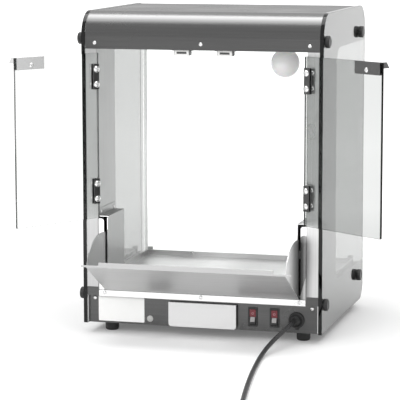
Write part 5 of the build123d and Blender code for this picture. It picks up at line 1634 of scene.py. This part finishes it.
@dataclass
class ControlPanel(Assembly):
    """The drawer, the bare plate, the switches, the cap and the cord's gland.

    Attributes:
        heat_switch: X of the heater's rocker.
        light_switch: X of the lamp's rocker.
        gland: The middle of the gland's flange, on the panel.
        tip: Where the strain relief ends.
        onward: A place on the lead behind it that the sleeve points to.
        fold: The height at which a rocker's red part ends.
        lens_at: Y and Z of a rocker's lens.
        lens_tilt: How far the lens leans, in radians.
        mark_at: Y and Z of a rocker's mark.
    """

    heat_switch: float = 79.1
    light_switch: float = 112.4
    gland: Point = (146.0, 7.0, 20.3)
    tip: Point = (144.5, -8.0, 21.0)
    onward: Point = (142.8, -22.0, 18.5)
    fold: float = 22.34
    lens_at: tuple[float, float] = (4.15, 18.3)
    lens_tilt: float = math.radians(-17.3)
    mark_at: tuple[float, float] = (5.05, 27.6)

    def rocker(self, name: str, body: str, x: float) -> None:
        """Makes one rocker: red above, dark below with a pale lens, and a ring as its mark.

        Args:
            name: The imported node.
            body: The body that it rides on.
            x: Its middle across, in millimetres.
        """
        f = self.finish
        paddle = self.sheet(name, body, "rocker_red", 0.5, f.red, f.black)
        middle = place((0, 0, self.fold)).z
        toned(paddle, lambda centre, normal: centre.z < middle)
        lens = block(f"{name}_lens", (-3.5, -0.6, -3.7), (3.5, 0.6, 3.7), 0.0)
        lens.data.transform(Matrix.Translation(-place((0, 0, 0))))
        bevelled(lens, 0.55, 3)
        tilt = Matrix.Rotation(self.lens_tilt, 4, "X")
        lens.data.transform(Matrix.Translation(place((x, *self.lens_at))) @ tilt)
        wear(lens, f.lens)
        self.add(lens, body, "white_plastic")
        ring = [(1.1, 0.0), (1.9, 0.0), (1.9, 0.25), (1.1, 0.25), (1.1, 0.0)]
        mark = turned(f"{name}_mark", ring, (x, *self.mark_at), (0.0, -0.998, -0.058), 24)
        wear(mark, f.mark)
        self.add(mark, body, "white_plastic")

    def gland_piece(self) -> None:
        """Makes the gland's flange, its tab and the tapered strain relief."""
        x, y, z = self.gland
        flange = [
            (0.0, 0.0), (12.2, 0.0), (12.2, 2.3), (11.9, 3.1), (11.2, 3.8), (10.2, 4.0), (9.3, 3.7),
            (8.9, 2.9), (8.4, 2.9), (8.2, 3.6), (7.8, 4.0), (0.0, 4.0),
        ]
        ring = turned("gland_flange", flange, self.gland, (0.0, -1.0, 0.0), 48)
        start = Vector((x, y - 3.5, z))
        run = Vector(self.tip) - start
        length = run.length
        nose = [(0.0, 0.0), (7.4, 0.0)]
        for rib in range(3):
            low = length * (0.12 + 0.26 * rib)
            wide = 7.3 - 2.0 * low / length
            nose += [(wide, low), (wide, low + 1.7), (wide - 0.7, low + 2.0), (wide - 0.7, low + 2.6)]
        nose += [(5.5, length - 0.9), (5.2, length - 0.2), (4.7, length), (0.0, length)]
        relief = turned("gland_nose", nose, tuple(start), tuple(run), 32)
        along = Vector(self.onward) - Vector(self.tip)
        cone = [(0.0, -2.0), (4.8, -2.0), (4.75, 1.0), (4.2, 5.5), (3.75, 8.5), (3.6, 9.0), (0.0, 9.0)]
        sleeve = turned("gland_sleeve", cone, self.tip, tuple(along), 32)
        tab = block("gland_tab", (x - 1.5, 4.0, z - 14.2), (x + 3.5, 7.0, z - 9.2), 0.5)
        hexagon = [(0.0, 0.0), (10.7, 0.0), (10.7, 4.2), (9.9, 5.0), (0.0, 5.0)]
        nut = turned("gland_nut", hexagon, (x, 8.2, z), (0.0, 1.0, 0.0), 6)
        piece = joined("strain_relief", [ring, relief, sleeve, tab, nut])
        wear(piece, self.finish.black)
        self.add(piece, "cabinet", "black_plastic", "cord_gland")

    def build(self) -> None:
        """Makes what sits on the panel."""
        f = self.finish
        self.sheet("crumb_drawer", "drawer", "bright_steel", 0.4, f.enamel)
        self.sheet("label_plate", "cabinet", "bare_plate", 0.15, f.plate)
        self.sheet("round_cap", "cabinet", "white_plastic", 0.3, f.cap)
        self.sheet("switch_bodies", "cabinet", "black_plastic", 0.35, f.black)
        self.rocker("rocker_heat", "heat_rocker", self.heat_switch)
        self.rocker("rocker_light", "light_rocker", self.light_switch)
        self.gland_piece()


@dataclass
class Plug(Assembly):
    """The plug at the lead's end, lying on its side, and the tie on the coil."""

    neck: Point = (24.0, -587.5, 3.0)
    toward: Point = (-10.5, -25.0, 0.0)

    def build(self) -> list[bpy.types.Object]:
        """Makes the plug and the tie.

        Returns:
            The pieces that lie on the lead.
        """
        axis = Vector(self.toward).normalized()
        profile = [(0.0, 0.0), (4.4, 0.0)]
        for rib in range(5):
            low = 1.5 + 4.0 * rib
            wide = 5.2 + 0.9 * rib
            profile += [(wide, low), (wide, low + 2.2), (wide - 0.8, low + 2.5), (wide - 0.8, low + 3.7)]
        profile += [
            (10.5, 22.0), (14.5, 23.5), (17.0, 26.5), (17.8, 31.0), (17.2, 37.0), (16.9, 43.0), (17.4, 49.0),
            (18.0, 52.0), (18.0, 54.6), (17.0, 56.0), (0.0, 56.0),
        ]
        body = turned("plug_grip", profile, self.neck, tuple(axis), 40)
        wear(body, self.finish.black)
        self.add(body, "cabinet", "black_plastic", "plug")
        across = axis.cross(Vector((0.0, 0.0, 1.0))).normalized()
        pin = [(0.0, 0.0), (2.4, 0.0), (2.4, 16.5), (2.1, 18.0), (1.3, 19.0), (0.0, 19.0)]
        spots = []
        for sign in (-1, 1):
            foot = Vector(self.neck) + axis * 56.0 + across * 9.5 * sign
            spots.append((tuple(foot), tuple(axis)))
        pins = repeated("plug_pins", lathe("pin_pattern", pin, 24), spots)
        wear(pins, self.finish.screw)
        self.add(pins, "cabinet", "screw_steel")
        tie = self.sheet("coil_tie", "cabinet", "rubber_black", 0.4, self.finish.rubber)
        return [body, pins, tie]


def main() -> None:
    """Builds the studio and the cabinet, piece by piece."""
    logging.basicConfig(level=logging.INFO, format="%(name)s: %(message)s")
    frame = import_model()
    nodes = frame["nodes"]
    studio = Studio()
    studio.camera()
    finish = Finishes()
    lead = MainsLead()
    cord = lead.build(finish)
    Plug(nodes, finish).build()
    studio.build()
    for assembly in (Glazing, GlassKnobs, Carcass, Flap, Doors, Interior, ControlPanel):
        assembly(nodes, finish).build()


if __name__ == "__main__":
    main()
